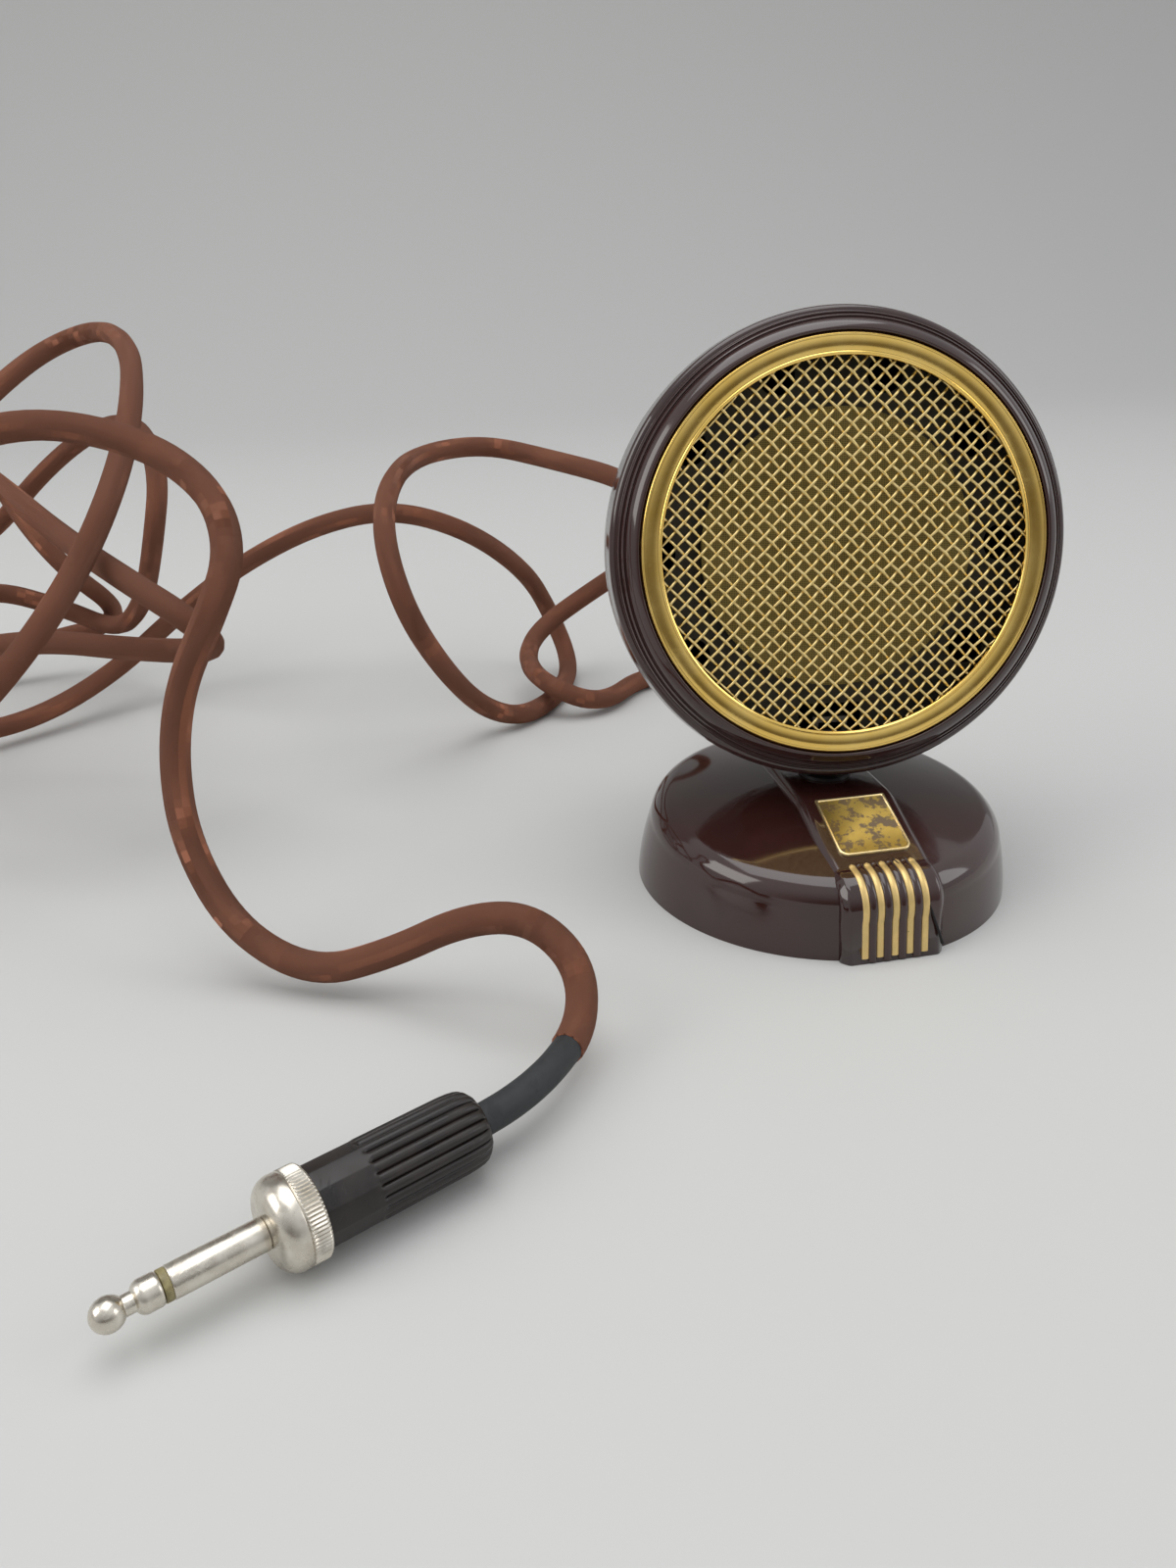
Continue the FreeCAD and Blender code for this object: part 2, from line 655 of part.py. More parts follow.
# Hinge bracket and pin in the head
ear_inner = size("tongue_thick") / 2 + size("ear_gap")
ear_outer = ear_inner + size("ear_thick")
bracket = Part.makeBox(2 * ear_outer, size("ear_above") + size("ear_below"), size("ear_width"),
                       Vector(-ear_outer, pin_down - size("ear_above"), pin_depth - size("ear_width") / 2))
bracket = bracket.cut(Part.makeBox(
    2 * ear_inner, size("ear_above") + size("ear_below"), size("ear_width") * 2,
    Vector(-ear_inner, pin_down - size("ear_above") + size("ear_thick"), pin_depth - size("ear_width"))))
bracket = bracket.cut(Part.makeCylinder(size("pin_radius") + size("run_gap"), 4 * ear_outer,
                                        Vector(-2 * ear_outer, pin_down, pin_depth), Vector(1, 0, 0)))
shape_part("hinge_bracket", bracket, head_place)
pin = primitive("Part::Cylinder", "hinge_pin", Radius="pin_radius", Height="pin_length")
pin_start = pin_place - Vector(size("pin_length") / 2, 0, 0)
keep(pin, swivel.multiply(Placement(pin_start, Rotation(Vector(0, 1, 0), 90))))

# Grommet in the back of the foot
keep(turned("cord_grommet", [
    ("0", "foot_radius + band_back_over - foot_wall * 1.5"),
    ("grommet_neck", "foot_radius + band_back_over - foot_wall * 1.5"),
    ("grommet_neck", "foot_radius + band_back_over + run_gap"),
    ("grommet_flange", "foot_radius + band_back_over + run_gap"),
    ("grommet_flange", "foot_radius + band_back_over + grommet_flange_thick"),
    ("grommet_nose", "foot_radius + band_back_over + 2 * grommet_flange_thick"),
    ("cord_diameter / 2 + ring_gap", "foot_radius + grommet_over"),
    ("0", "foot_radius + grommet_over"),
]), Placement(Vector(0, 0, size("grommet_height")), Rotation(Vector(1, 0, 0), -90)))

# Plug, from its tip to the handle's rear
plug_place = Placement(
    Vector(size("plug_tip_x"), size("plug_tip_y"), size("plug_height")),
    Rotation(Vector(0, 0, 1), size("plug_turn")).multiply(Rotation(Vector(0, 1, 0), 90)))
keep(turned("plug_tip", [
    ("0", "-ball_radius"),
    ("ball_radius", "0", "neck_radius", "sqrt(ball_radius ^ 2 - neck_radius ^ 2)"),
    ("neck_radius", "neck_place"),
    ("shaft_radius", "neck_place + shaft_radius - neck_radius"),
    ("shaft_radius", "tip_length"),
    ("0", "tip_length"),
]), plug_place)
keep(turned("plug_insulator", [
    ("0", "tip_length"), ("shaft_radius", "tip_length"),
    ("shaft_radius", "tip_length + insulator_length"), ("0", "tip_length + insulator_length")]), plug_place)
keep(turned("plug_shaft", [
    ("0", "tip_length + insulator_length"), ("shaft_radius", "tip_length + insulator_length"),
    ("shaft_radius", "shaft_end"), ("0", "shaft_end")]), plug_place)
keep(turned("plug_collar", [
    ("0", "shaft_end"),
    ("collar_face", "shaft_end"),
    ("collar_radius - collar_round * (1 - sqrt(0.5))", "shaft_end + collar_round * (1 - sqrt(0.5))",
     "collar_radius", "shaft_end + collar_round"),
    ("collar_radius", "collar_end"),
    ("0", "collar_end"),
]), plug_place)
handle_blank = turned("handle_blank", [
    ("0", "collar_end"),
    ("handle_radius", "collar_end"),
    ("handle_radius", "handle_end - 2 * ball_radius"),
    ("handle_rear_radius", "handle_end - flute_radius"),
    ("handle_rear_radius - flute_radius", "handle_end"),
    ("0", "handle_end"),
])
flutes = []
for k in range(int(size("flute_count"))):
    turn = math.radians(360 / size("flute_count") * k)
    flute = primitive("Part::Cylinder", f"flute_{k + 1}", Radius="flute_radius", Height="handle_end")
    flute.Placement = Placement(Vector(size("handle_radius") * math.cos(turn),
                                       size("handle_radius") * math.sin(turn), size("flute_start")), Rotation())
    flutes.append(flute)
keep(cut("plug_handle", handle_blank, joined("flutes", *flutes)), plug_place)


def arc_path(points):
    """Straight runs joined by tangent arcs, each as large as its two runs allow. Also gives the arcs' radii."""
    edges = []
    radii = []
    last = points[0]
    for before, corner, after in zip(points, points[1:], points[2:]):
        into = corner - before
        out = after - corner
        shorter = min(into.Length, out.Length)
        half_turn = into.getAngle(out) / 2
        into.normalize()
        out.normalize()
        start = corner - into * (0.45 * shorter)
        end = corner + out * (0.45 * shorter)
        radius = 0.45 * shorter / math.tan(half_turn)
        inwards = out - into
        inwards.normalize()
        middle = corner + inwards * (radius / math.cos(half_turn) - radius)
        edges.append(Part.LineSegment(last, start).toShape())
        edges.append(Part.Arc(start, middle, end).toShape())
        radii.append(radius)
        last = end
    edges.append(Part.LineSegment(last, points[-1]).toShape())
    return Part.Wire(edges), radii


def tube(path, radius):
    """A round tube along a path."""
    first = path.Edges[0]
    circle = Part.makeCircle(radius, first.valueAt(first.FirstParameter), first.tangentAt(first.FirstParameter))
    return path.makePipeShell([Part.Wire(circle)], True, False)


# Rubber sleeve that bends away from the plug
axis = plug_place.Rotation.multVec(Vector(0, 0, 1))
side = Vector(-axis.y, axis.x, 0)
sleeve_start = plug_place.multVec(Vector(0, 0, size("handle_end")))
turn = math.radians(size("sleeve_turn"))
bend = size("sleeve_length") / turn
sleeve_end = sleeve_start + axis * (bend * math.sin(turn)) + side * (bend * (1 - math.cos(turn)))
sleeve_middle = sleeve_start + axis * (bend * math.sin(turn / 2)) + side * (bend * (1 - math.cos(turn / 2)))
sleeve_path = Part.Wire([Part.Arc(sleeve_start, sleeve_middle, sleeve_end).toShape()])
shape_part("plug_sleeve", tube(sleeve_path, size("sleeve_diameter") / 2))
away = axis * math.cos(turn) + side * math.sin(turn)

# Cord, from the grommet through its springy loops to the plug's sleeve
CORD_POINTS = [
    (0, 84, 9), (14, 112, 5), (32, 142, 4), (22, 172, 4), (-10, 178, 4), (-36, 142, 5),
    (-58, 148, 14), (-62, 174, 17), (-53, 190, 25), (-28, 192, 40), (-5, 178, 58), (-3, 160, 76),
    (-20, 160, 91), (-44, 194, 95), (-70, 206, 101), (-98, 188, 101), (-112, 150, 98),
    (-118, 116, 86), (-113, 98, 62), (-99, 114, 33), (-84, 134, 11), (-68, 140, 4), (-50, 162, 4),
    (-37, 200, 4), (-44, 214, 26), (-56, 202, 48), (-80, 196, 68), (-110, 194, 79),
    (-140, 194, 75), (-173, 214, 57), (-203, 222, 36), (-229, 208, 17), (-255, 182, 8),
    (-280, 164, 8), (-294, 142, 22), (-284, 124, 42), (-258, 122, 54), (-230, 110, 58),
    (-203, 93, 58), (-180, 80, 59), (-171, 64, 65), (-178, 55, 77), (-196, 76, 84),
    (-222, 118, 91), (-247, 160, 101), (-266, 188, 108), (-274, 212, 114), (-258, 232, 130),
    (-242, 256, 142), (-219, 248, 149), (-203, 204, 144), (-196, 150, 132), (-196, 104, 115),
    (-206, 79, 93), (-220, 62, 74), (-236, 46, 58), (-256, 40, 42), (-280, 58, 32), (-298, 98, 30),
    (-306, 150, 40), (-298, 198, 50), (-276, 220, 52), (-252, 228, 40), (-230, 226, 28),
    (-214, 202, 45), (-202, 173, 74), (-196, 182, 102), (-209, 230, 114), (-232, 262, 108),
    (-258, 268, 90), (-284, 268, 64), (-310, 270, 54), (-322, 286, 72), (-304, 292, 94),
    (-276, 262, 92), (-259, 231, 74), (-244, 220, 56), (-230, 230, 38), (-238, 248, 25),
    (-268, 258, 18), (-300, 248, 10), (-320, 216, 6), (-326, 168, 8), (-322, 120, 24),
    (-310, 80, 52), (-292, 50, 88), (-262, 38, 114), (-232, 37, 129), (-205, 36, 136),
    (-177, 28, 130), (-161, 16, 119), (-157, 1, 106), (-164, -6, 92), (-174, 0, 74), (-179, 0, 54),
    (-178, -8, 34), (-168, -20, 14), (-149, -34, 6), (-129, -40, 13), (-111, -50, 26),
    (-96, -56, 28), (-86, -64, 19),
]
cord_radius = size("cord_diameter") / 2
cord_start = Vector(0, worked("foot_radius + grommet_over"), size("grommet_height"))
cord_end = sleeve_end
cord_lead = sleeve_end + away * size("cord_lead")
cord_path, radii = arc_path([cord_start, *(Vector(*p) for p in CORD_POINTS), cord_lead, cord_end])
cord = tube(cord_path, cord_radius)
shape_part("cord", cord)
print("cord length", round(cord_path.Length, 1), "volume over section times length",
      round(cord.Volume / (math.pi * cord_radius ** 2 * cord_path.Length), 4))
print("cord bend radii", [round(r, 1) for r in radii])

# Every object has to be sound before anything is written
doc.recompute()
for thing in doc.Objects:
    if "Invalid" in thing.State or "Error" in thing.State:
        raise RuntimeError(f"{thing.Name} did not build: {thing.State}")
os.makedirs("parts", exist_ok=True)
for part in made:
    if part.Shape.isNull() or not part.Shape.isValid():
        raise RuntimeError(f"{part.Label} has no sound shape")
    part.Shape.exportStep(f"parts/{part.Label}.step")
print(len(made), "sub-parts")
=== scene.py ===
import math

import bmesh
import bpy
from mathutils import Matrix, Vector


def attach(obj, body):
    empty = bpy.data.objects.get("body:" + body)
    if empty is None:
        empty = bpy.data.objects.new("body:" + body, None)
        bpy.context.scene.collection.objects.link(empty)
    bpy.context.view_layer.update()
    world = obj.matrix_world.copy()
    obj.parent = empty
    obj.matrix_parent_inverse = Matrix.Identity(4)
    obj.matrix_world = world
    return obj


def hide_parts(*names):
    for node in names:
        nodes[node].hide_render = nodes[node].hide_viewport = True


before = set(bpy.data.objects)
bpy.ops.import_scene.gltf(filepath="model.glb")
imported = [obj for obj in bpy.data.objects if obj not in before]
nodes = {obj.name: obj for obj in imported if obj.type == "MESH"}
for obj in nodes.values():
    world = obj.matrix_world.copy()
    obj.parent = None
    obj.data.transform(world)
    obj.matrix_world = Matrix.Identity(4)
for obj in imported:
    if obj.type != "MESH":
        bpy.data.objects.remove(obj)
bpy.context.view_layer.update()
mm = 0.001


# Curves and lathe work

def arcThrough(a, b, c, steps):
    # points after a on the arc from a by b to c, in the plane
    d = 2 * (a[0] * (b[1] - c[1]) + b[0] * (c[1] - a[1]) + c[0] * (a[1] - b[1]))
    sa, sb, sc = (p[0] ** 2 + p[1] ** 2 for p in (a, b, c))
    cx = (sa * (b[1] - c[1]) + sb * (c[1] - a[1]) + sc * (a[1] - b[1])) / d
    cy = (sa * (c[0] - b[0]) + sb * (a[0] - c[0]) + sc * (b[0] - a[0])) / d
    radius = math.hypot(a[0] - cx, a[1] - cy)
    first, middle, last = (math.atan2(p[1] - cy, p[0] - cx) for p in (a, b, c))
    turn = (last - first) % (2 * math.pi)
    if (middle - first) % (2 * math.pi) > turn:
        turn -= 2 * math.pi
    turns = [first + turn * k / steps for k in range(1, steps + 1)]
    return [(cx + radius * math.cos(t), cy + radius * math.sin(t)) for t in turns]


def outlinePoints(outline, soften=0.25, steps=10, closed=True):
    # an outline's entries are corners, or a middle and an end for an arc; sharp corners are rounded
    points = []
    for entry in outline:
        if len(entry) == 4:
            points += arcThrough(points[-1], entry[:2], entry[2:], steps)
        else:
            points.append(entry)
    rounded = []
    for k, here in enumerate(points):
        if not closed and k in (0, len(points) - 1):
            rounded.append(here)
            continue
        before, after = points[k - 1], points[(k + 1) % len(points)]
        into = Vector((here[0] - before[0], here[1] - before[1]))
        out = Vector((after[0] - here[0], after[1] - here[1]))
        onAxis = abs(here[0]) < 1e-6
        if onAxis or into.length < 1e-6 or out.length < 1e-6 or into.angle(out) < math.radians(18):
            rounded.append(here)
            continue
        cut = min(soften, 0.4 * into.length, 0.4 * out.length)
        start = Vector(here) - into.normalized() * cut
        end = Vector(here) + out.normalized() * cut
        for t in (0, 0.33, 0.67, 1):
            point = start * (1 - t) ** 2 + Vector(here) * 2 * t * (1 - t) + end * t ** 2
            rounded.append(tuple(point))
    return rounded


def meshObject(name, vertices, faces, material, place=Matrix(), closed=True, sharp=35):
    mesh = bpy.data.meshes.new(name)
    mesh.from_pydata([place @ (Vector(v) * mm) for v in vertices], [], faces)
    work = bmesh.new()
    work.from_mesh(mesh)
    bmesh.ops.remove_doubles(work, verts=work.verts, dist=1e-6)
    if closed:
        bmesh.ops.recalc_face_normals(work, faces=work.faces)
    work.to_mesh(mesh)
    work.free()
    mesh.materials.append(material)
    mesh.shade_smooth()
    mesh.set_sharp_from_angle(angle=math.radians(sharp))
    piece = bpy.data.objects.new(name, mesh)
    bpy.context.scene.collection.objects.link(piece)
    return piece


def lathe(name, outline, material, place, segments=160, soften=0.25, steps=10, wave=None, sharp=35):
    # the outline is closed and runs in (radius, depth); wave changes the radius by angle and depth
    points = outlinePoints(outline, soften, steps)
    vertices = []
    for k in range(segments):
        turn = 2 * math.pi * k / segments
        for radius, depth in points:
            r = radius + (wave(radius, depth, turn) if wave and radius > 0 else 0)
            vertices.append((r * math.cos(turn), r * math.sin(turn), depth))
    count = len(points)
    faces = []
    for k in range(segments):
        here, there = k * count, (k + 1) % segments * count
        for j in range(count):
            i = (j + 1) % count
            if points[j][0] < 1e-6 and points[i][0] < 1e-6:
                continue
            faces.append((here + j, there + j, there + i, here + i))
    return meshObject(name, vertices, faces, material, place, sharp=sharp)


def tubeFaces(rows, count):
    # the sides of a swept loop of count points, then its two ends
    faces = []
    for k in range(rows - 1):
        for j in range(count):
            i = (j + 1) % count
            faces.append((k * count + j, k * count + i, (k + 1) * count + i, (k + 1) * count + j))
    faces.append(tuple(range(count)))
    faces.append(tuple((rows - 1) * count + j for j in reversed(range(count))))
    return faces


def tubeCurve(name, places, radius, material, along, around, swell=lambda part: 1.0):
    data = bpy.data.curves.new(name, "CURVE")
    data.dimensions = "3D"
    spline = data.splines.new("NURBS")
    spline.points.add(len(places) - 1)
    for k, (point, place) in enumerate(zip(spline.points, places)):
        point.co = (*place, 1)
        point.radius = swell(k / (len(places) - 1))
    spline.order_u = 3
    spline.use_endpoint_u = True
    spline.resolution_u = along
    data.bevel_depth = radius
    data.bevel_resolution = around
    data.use_fill_caps = True
    data.materials.append(material)
    piece = bpy.data.objects.new(name, data)
    bpy.context.scene.collection.objects.link(piece)
    return piece


def cutBelow(work, height):
    # removes what lies under a height, and closes the cut
    every = work.verts[:] + work.edges[:] + work.faces[:]
    cut = bmesh.ops.bisect_plane(work, geom=every, plane_co=(0, 0, height), plane_no=(0, 0, 1),
                                 clear_inner=True)
    rim = [e for e in cut["geom_cut"] if isinstance(e, bmesh.types.BMEdge)]
    if rim:
        bmesh.ops.triangle_fill(work, use_beauty=True, edges=rim)


def show(piece, body, slot, *replaced):
    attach(piece, body)
    if replaced:
        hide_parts(*replaced)
    return piece


# Shader groups

def newGroup(name, inputs, outputs):
    group = bpy.data.node_groups.new(name, "ShaderNodeTree")
    for label, kind, value in inputs:
        socket = group.interface.new_socket(label, in_out="INPUT", socket_type=kind)
        socket.default_value = value
    for label, kind in outputs:
        group.interface.new_socket(label, in_out="OUTPUT", socket_type=kind)
    return group, group.nodes.new("NodeGroupInput"), group.nodes.new("NodeGroupOutput")


def addNode(tree, kind, links=None, **settings):
    node = tree.nodes.new(kind)
    for label, value in settings.items():
        setattr(node, label, value)
    for socket, value in (links or {}).items():
        if hasattr(value, "is_output"):
            tree.links.new(value, node.inputs[socket])
        else:
            node.inputs[socket].default_value = value
    return node


def calc(tree, operation, a, b=0.0, c=0.0):
    return addNode(tree, "ShaderNodeMath", {0: a, 1: b, 2: c}, operation=operation).outputs[0]


def ramp(tree, value, low, high):
    node = addNode(tree, "ShaderNodeMapRange", {"Value": value, "From Min": low, "From Max": high})
    return node.outputs["Result"]


def mixColour(tree, factor, a, b):
    node = addNode(tree, "ShaderNodeMix", data_type="RGBA")
    for socket, value in ((0, factor), (6, a), (7, b)):
        if hasattr(value, "is_output"):
            tree.links.new(value, node.inputs[socket])
        else:
            node.inputs[socket].default_value = value
    return node.outputs[2]


def handlingWearGroup():
    # smudges: slow stains for roughness and colour; scratches: fine short lines for bump
    group, given, result = newGroup("HandlingWear", [
        ("Stain Size", "NodeSocketFloat", 60.0), ("Scratch Size", "NodeSocketFloat", 300.0),
        ("Scratch Share", "NodeSocketFloat", 0.4)],
        [("Stains", "NodeSocketFloat"), ("Scratches", "NodeSocketFloat")])
    place = addNode(group, "ShaderNodeTexCoord")
    stain = addNode(group, "ShaderNodeTexNoise", {
        "Vector": place.outputs["Object"], "Scale": given.outputs["Stain Size"], "Detail": 6.0,
        "Roughness": 0.62})
    lines = []
    for turn in (0.5, 1.9, 2.8):
        turned = addNode(group, "ShaderNodeMapping", {
            "Vector": place.outputs["Object"], "Rotation": (turn, turn * 0.7, turn),
            "Scale": (1.0, 0.05, 1.0)})
        line = addNode(group, "ShaderNodeTexNoise", {
            "Vector": turned.outputs[0], "Scale": given.outputs["Scratch Size"], "Detail": 2.0})
        lines.append(ramp(group, line.outputs[0], 0.66, 0.72))
    most = calc(group, "MAXIMUM", calc(group, "MAXIMUM", lines[0], lines[1]), lines[2])
    group.links.new(ramp(group, stain.outputs[0], 0.32, 0.72), result.inputs["Stains"])
    group.links.new(calc(group, "MULTIPLY", most, given.outputs["Scratch Share"]), result.inputs["Scratches"])
    return group


def specksGroup():
    # small chips and dirt where a thin coating has gone
    group, given, result = newGroup("WearSpecks", [
        ("Size", "NodeSocketFloat", 900.0), ("Amount", "NodeSocketFloat", 0.3)],
        [("Mask", "NodeSocketFloat")])
    place = addNode(group, "ShaderNodeTexCoord")
    coarse = addNode(group, "ShaderNodeTexNoise", {
        "Vector": place.outputs["Object"], "Scale": given.outputs["Size"], "Detail": 5.0, "Roughness": 0.7})
    low = calc(group, "SUBTRACT", 0.78, calc(group, "MULTIPLY", given.outputs["Amount"], 0.3))
    mask = addNode(group, "ShaderNodeMapRange", {
        "Value": coarse.outputs[0], "From Min": low, "From Max": calc(group, "ADD", low, 0.05)})
    group.links.new(mask.outputs["Result"], result.inputs["Mask"])
    return group


wearGroup = handlingWearGroup()
specks = specksGroup()


# Materials

def startMaterial(name):
    material = bpy.data.materials.new(name)
    material.use_nodes = True
    tree = material.node_tree
    return material, tree, tree.nodes["Principled BSDF"]


def wearNodes(tree, stainSize, scratchSize, share):
    wear = addNode(tree, "ShaderNodeGroup", node_tree=wearGroup)
    wear.inputs["Stain Size"].default_value = stainSize
    wear.inputs["Scratch Size"].default_value = scratchSize
    wear.inputs["Scratch Share"].default_value = share
    return wear.outputs["Stains"], wear.outputs["Scratches"]


def bumpOf(tree, height, strength, distance=0.0001):
    return addNode(tree, "ShaderNodeBump", {
        "Height": height, "Strength": strength, "Distance": distance}).outputs[0]


def wornMaterial(name, dark, light, roughLow, roughHigh, metallic=0.0, stainSize=60, scratchSize=350,
                 share=0.3, bump=0.2, coat=0.0, ior=1.5):
    material, tree, surface = startMaterial(name)
    stains, scratches = wearNodes(tree, stainSize, scratchSize, share)
    tree.links.new(mixColour(tree, stains, (*dark, 1), (*light, 1)), surface.inputs["Base Color"])
    rough = addNode(tree, "ShaderNodeMapRange", {
        "Value": calc(tree, "ADD", stains, scratches), "To Min": roughLow, "To Max": roughHigh})
    tree.links.new(rough.outputs["Result"], surface.inputs["Roughness"])
    tree.links.new(bumpOf(tree, calc(tree, "MULTIPLY", scratches, -1.0), bump), surface.inputs["Normal"])
    surface.inputs["Metallic"].default_value = metallic
    surface.inputs["Coat Weight"].default_value = coat
    surface.inputs["Coat Roughness"].default_value = 0.03
    surface.inputs["IOR"].default_value = ior
    return material


bakelite = wornMaterial("Bakelite", (0.026, 0.0085, 0.0072), (0.04, 0.0125, 0.0098), 0.06, 0.15,
                        stainSize=35, share=0.12, bump=0.05, coat=0.25, ior=1.6)
plugBakelite = wornMaterial("PlugBakelite", (0.008, 0.006, 0.0055), (0.022, 0.016, 0.013), 0.25, 0.5,
                            stainSize=180, scratchSize=500, share=0.6, bump=0.35)
ringBrass = wornMaterial("RingBrass", (0.90, 0.60, 0.15), (0.96, 0.69, 0.23), 0.1, 0.24, metallic=1.0,
                         stainSize=90, share=0.35, bump=0.12)
wireBrass = wornMaterial("WireBrass", (0.78, 0.58, 0.22), (0.98, 0.80, 0.40), 0.22, 0.4, metallic=1.0,
                         stainSize=500, share=0.2, bump=0.1)
nickel = wornMaterial("Nickel", (0.56, 0.51, 0.43), (0.78, 0.74, 0.66), 0.18, 0.38, metallic=1.0,
                      stainSize=220, scratchSize=420, share=0.7, bump=0.3)
steel = wornMaterial("Steel", (0.42, 0.42, 0.42), (0.6, 0.6, 0.6), 0.25, 0.45, metallic=1.0)
blackSteel = wornMaterial("BlackSteel", (0.012, 0.011, 0.011), (0.04, 0.036, 0.034), 0.2, 0.4, metallic=0.4)
castIron = wornMaterial("CastIron", (0.05, 0.05, 0.05), (0.1, 0.095, 0.09), 0.6, 0.85, metallic=0.5)
bushBrass = wornMaterial("BushBrass", (0.5, 0.36, 0.12), (0.72, 0.54, 0.22), 0.25, 0.4, metallic=1.0)
capsuleMetal = wornMaterial("CapsuleMetal", (0.06, 0.055, 0.045), (0.13, 0.12, 0.09), 0.4, 0.6, metallic=0.6)
rubber = wornMaterial("Rubber", (0.014, 0.016, 0.018), (0.034, 0.036, 0.038), 0.5, 0.75,
                      stainSize=260, scratchSize=260, share=0.5, bump=0.5)
insulator = wornMaterial("Insulator", (0.16, 0.13, 0.05), (0.34, 0.29, 0.14), 0.35, 0.5, stainSize=700)
crackDark = wornMaterial("CrackDark", (0.003, 0.002, 0.002), (0.006, 0.005, 0.005), 0.6, 0.8)


def gauzeMaterial(cell):
    # a fine square weave, too small to model; its holes are painted near-black, as painted shade seen through
    # the openings
    material, tree, surface = startMaterial("Gauze")
    place = addNode(tree, "ShaderNodeTexCoord")
    axes = addNode(tree, "ShaderNodeSeparateXYZ", {"Vector": place.outputs["Object"]})
    waves = []
    for axis in ("X", "Z"):
        turn = calc(tree, "MULTIPLY", axes.outputs[axis], 2 * math.pi / cell)
        waves.append(calc(tree, "ABSOLUTE", calc(tree, "SINE", turn)))
    wire = ramp(tree, calc(tree, "MAXIMUM", waves[0], waves[1]), 0.55, 0.95)
    stains, scratches = wearNodes(tree, 70, 300, 0.2)
    metal = mixColour(tree, stains, (0.36, 0.28, 0.09, 1), (0.56, 0.45, 0.17, 1))
    # painted shade: where there is no wire the colour is near-black, standing for the shaded inside behind
    # the cloth
    tree.links.new(mixColour(tree, wire, (0.012, 0.009, 0.004, 1), metal), surface.inputs["Base Color"])
    tree.links.new(bumpOf(tree, wire, 0.6, 0.0002), surface.inputs["Normal"])
    tree.links.new(calc(tree, "MULTIPLY", wire, 0.8), surface.inputs["Metallic"])
    surface.inputs["Roughness"].default_value = 0.42
    return material


def speckledMaterial(name, colour, worn, metallic, roughness, size, amount):
    material, tree, surface = startMaterial(name)
    chips = addNode(tree, "ShaderNodeGroup", node_tree=specks)
    chips.inputs["Size"].default_value = size
    chips.inputs["Amount"].default_value = amount
    stains, scratches = wearNodes(tree, 200, 600, 0.3)
    clean = mixColour(tree, stains, (*(0.82 * c for c in colour), 1), (*colour, 1))
    tree.links.new(mixColour(tree, chips.outputs[0], clean, (*worn, 1)), surface.inputs["Base Color"])
    tree.links.new(calc(tree, "MULTIPLY", calc(tree, "SUBTRACT", 1.0, chips.outputs[0]), metallic),
                   surface.inputs["Metallic"])
    tree.links.new(bumpOf(tree, chips.outputs[0], -0.4), surface.inputs["Normal"])
    surface.inputs["Roughness"].default_value = roughness
    return material


gauze = gauzeMaterial(0.9 * mm)
gilt = speckledMaterial("Gilt", (0.86, 0.62, 0.25), (0.06, 0.02, 0.012), 0.55, 0.34, 620, 0.35)
badgeField = speckledMaterial("BadgeField", (0.40, 0.27, 0.06), (0.13, 0.075, 0.02), 0.85, 0.33, 260, 0.95)
badgeRim = speckledMaterial("BadgeRim", (0.93, 0.72, 0.36), (0.3, 0.17, 0.05), 0.9, 0.22, 700, 0.3)


def feltMaterial():
    material, tree, surface = startMaterial("Felt")
    place = addNode(tree, "ShaderNodeTexCoord")
    fluff = addNode(tree, "ShaderNodeTexNoise", {
        "Vector": place.outputs["Object"], "Scale": 1800.0, "Detail": 8.0, "Roughness": 0.75})
    tree.links.new(mixColour(tree, fluff.outputs[0], (0.03, 0.035, 0.028, 1), (0.11, 0.12, 0.095, 1)),
                   surface.inputs["Base Color"])
    tree.links.new(bumpOf(tree, fluff.outputs[0], 0.8, 0.0004), surface.inputs["Normal"])
    surface.inputs["Roughness"].default_value = 0.95
    return material


felt = feltMaterial()


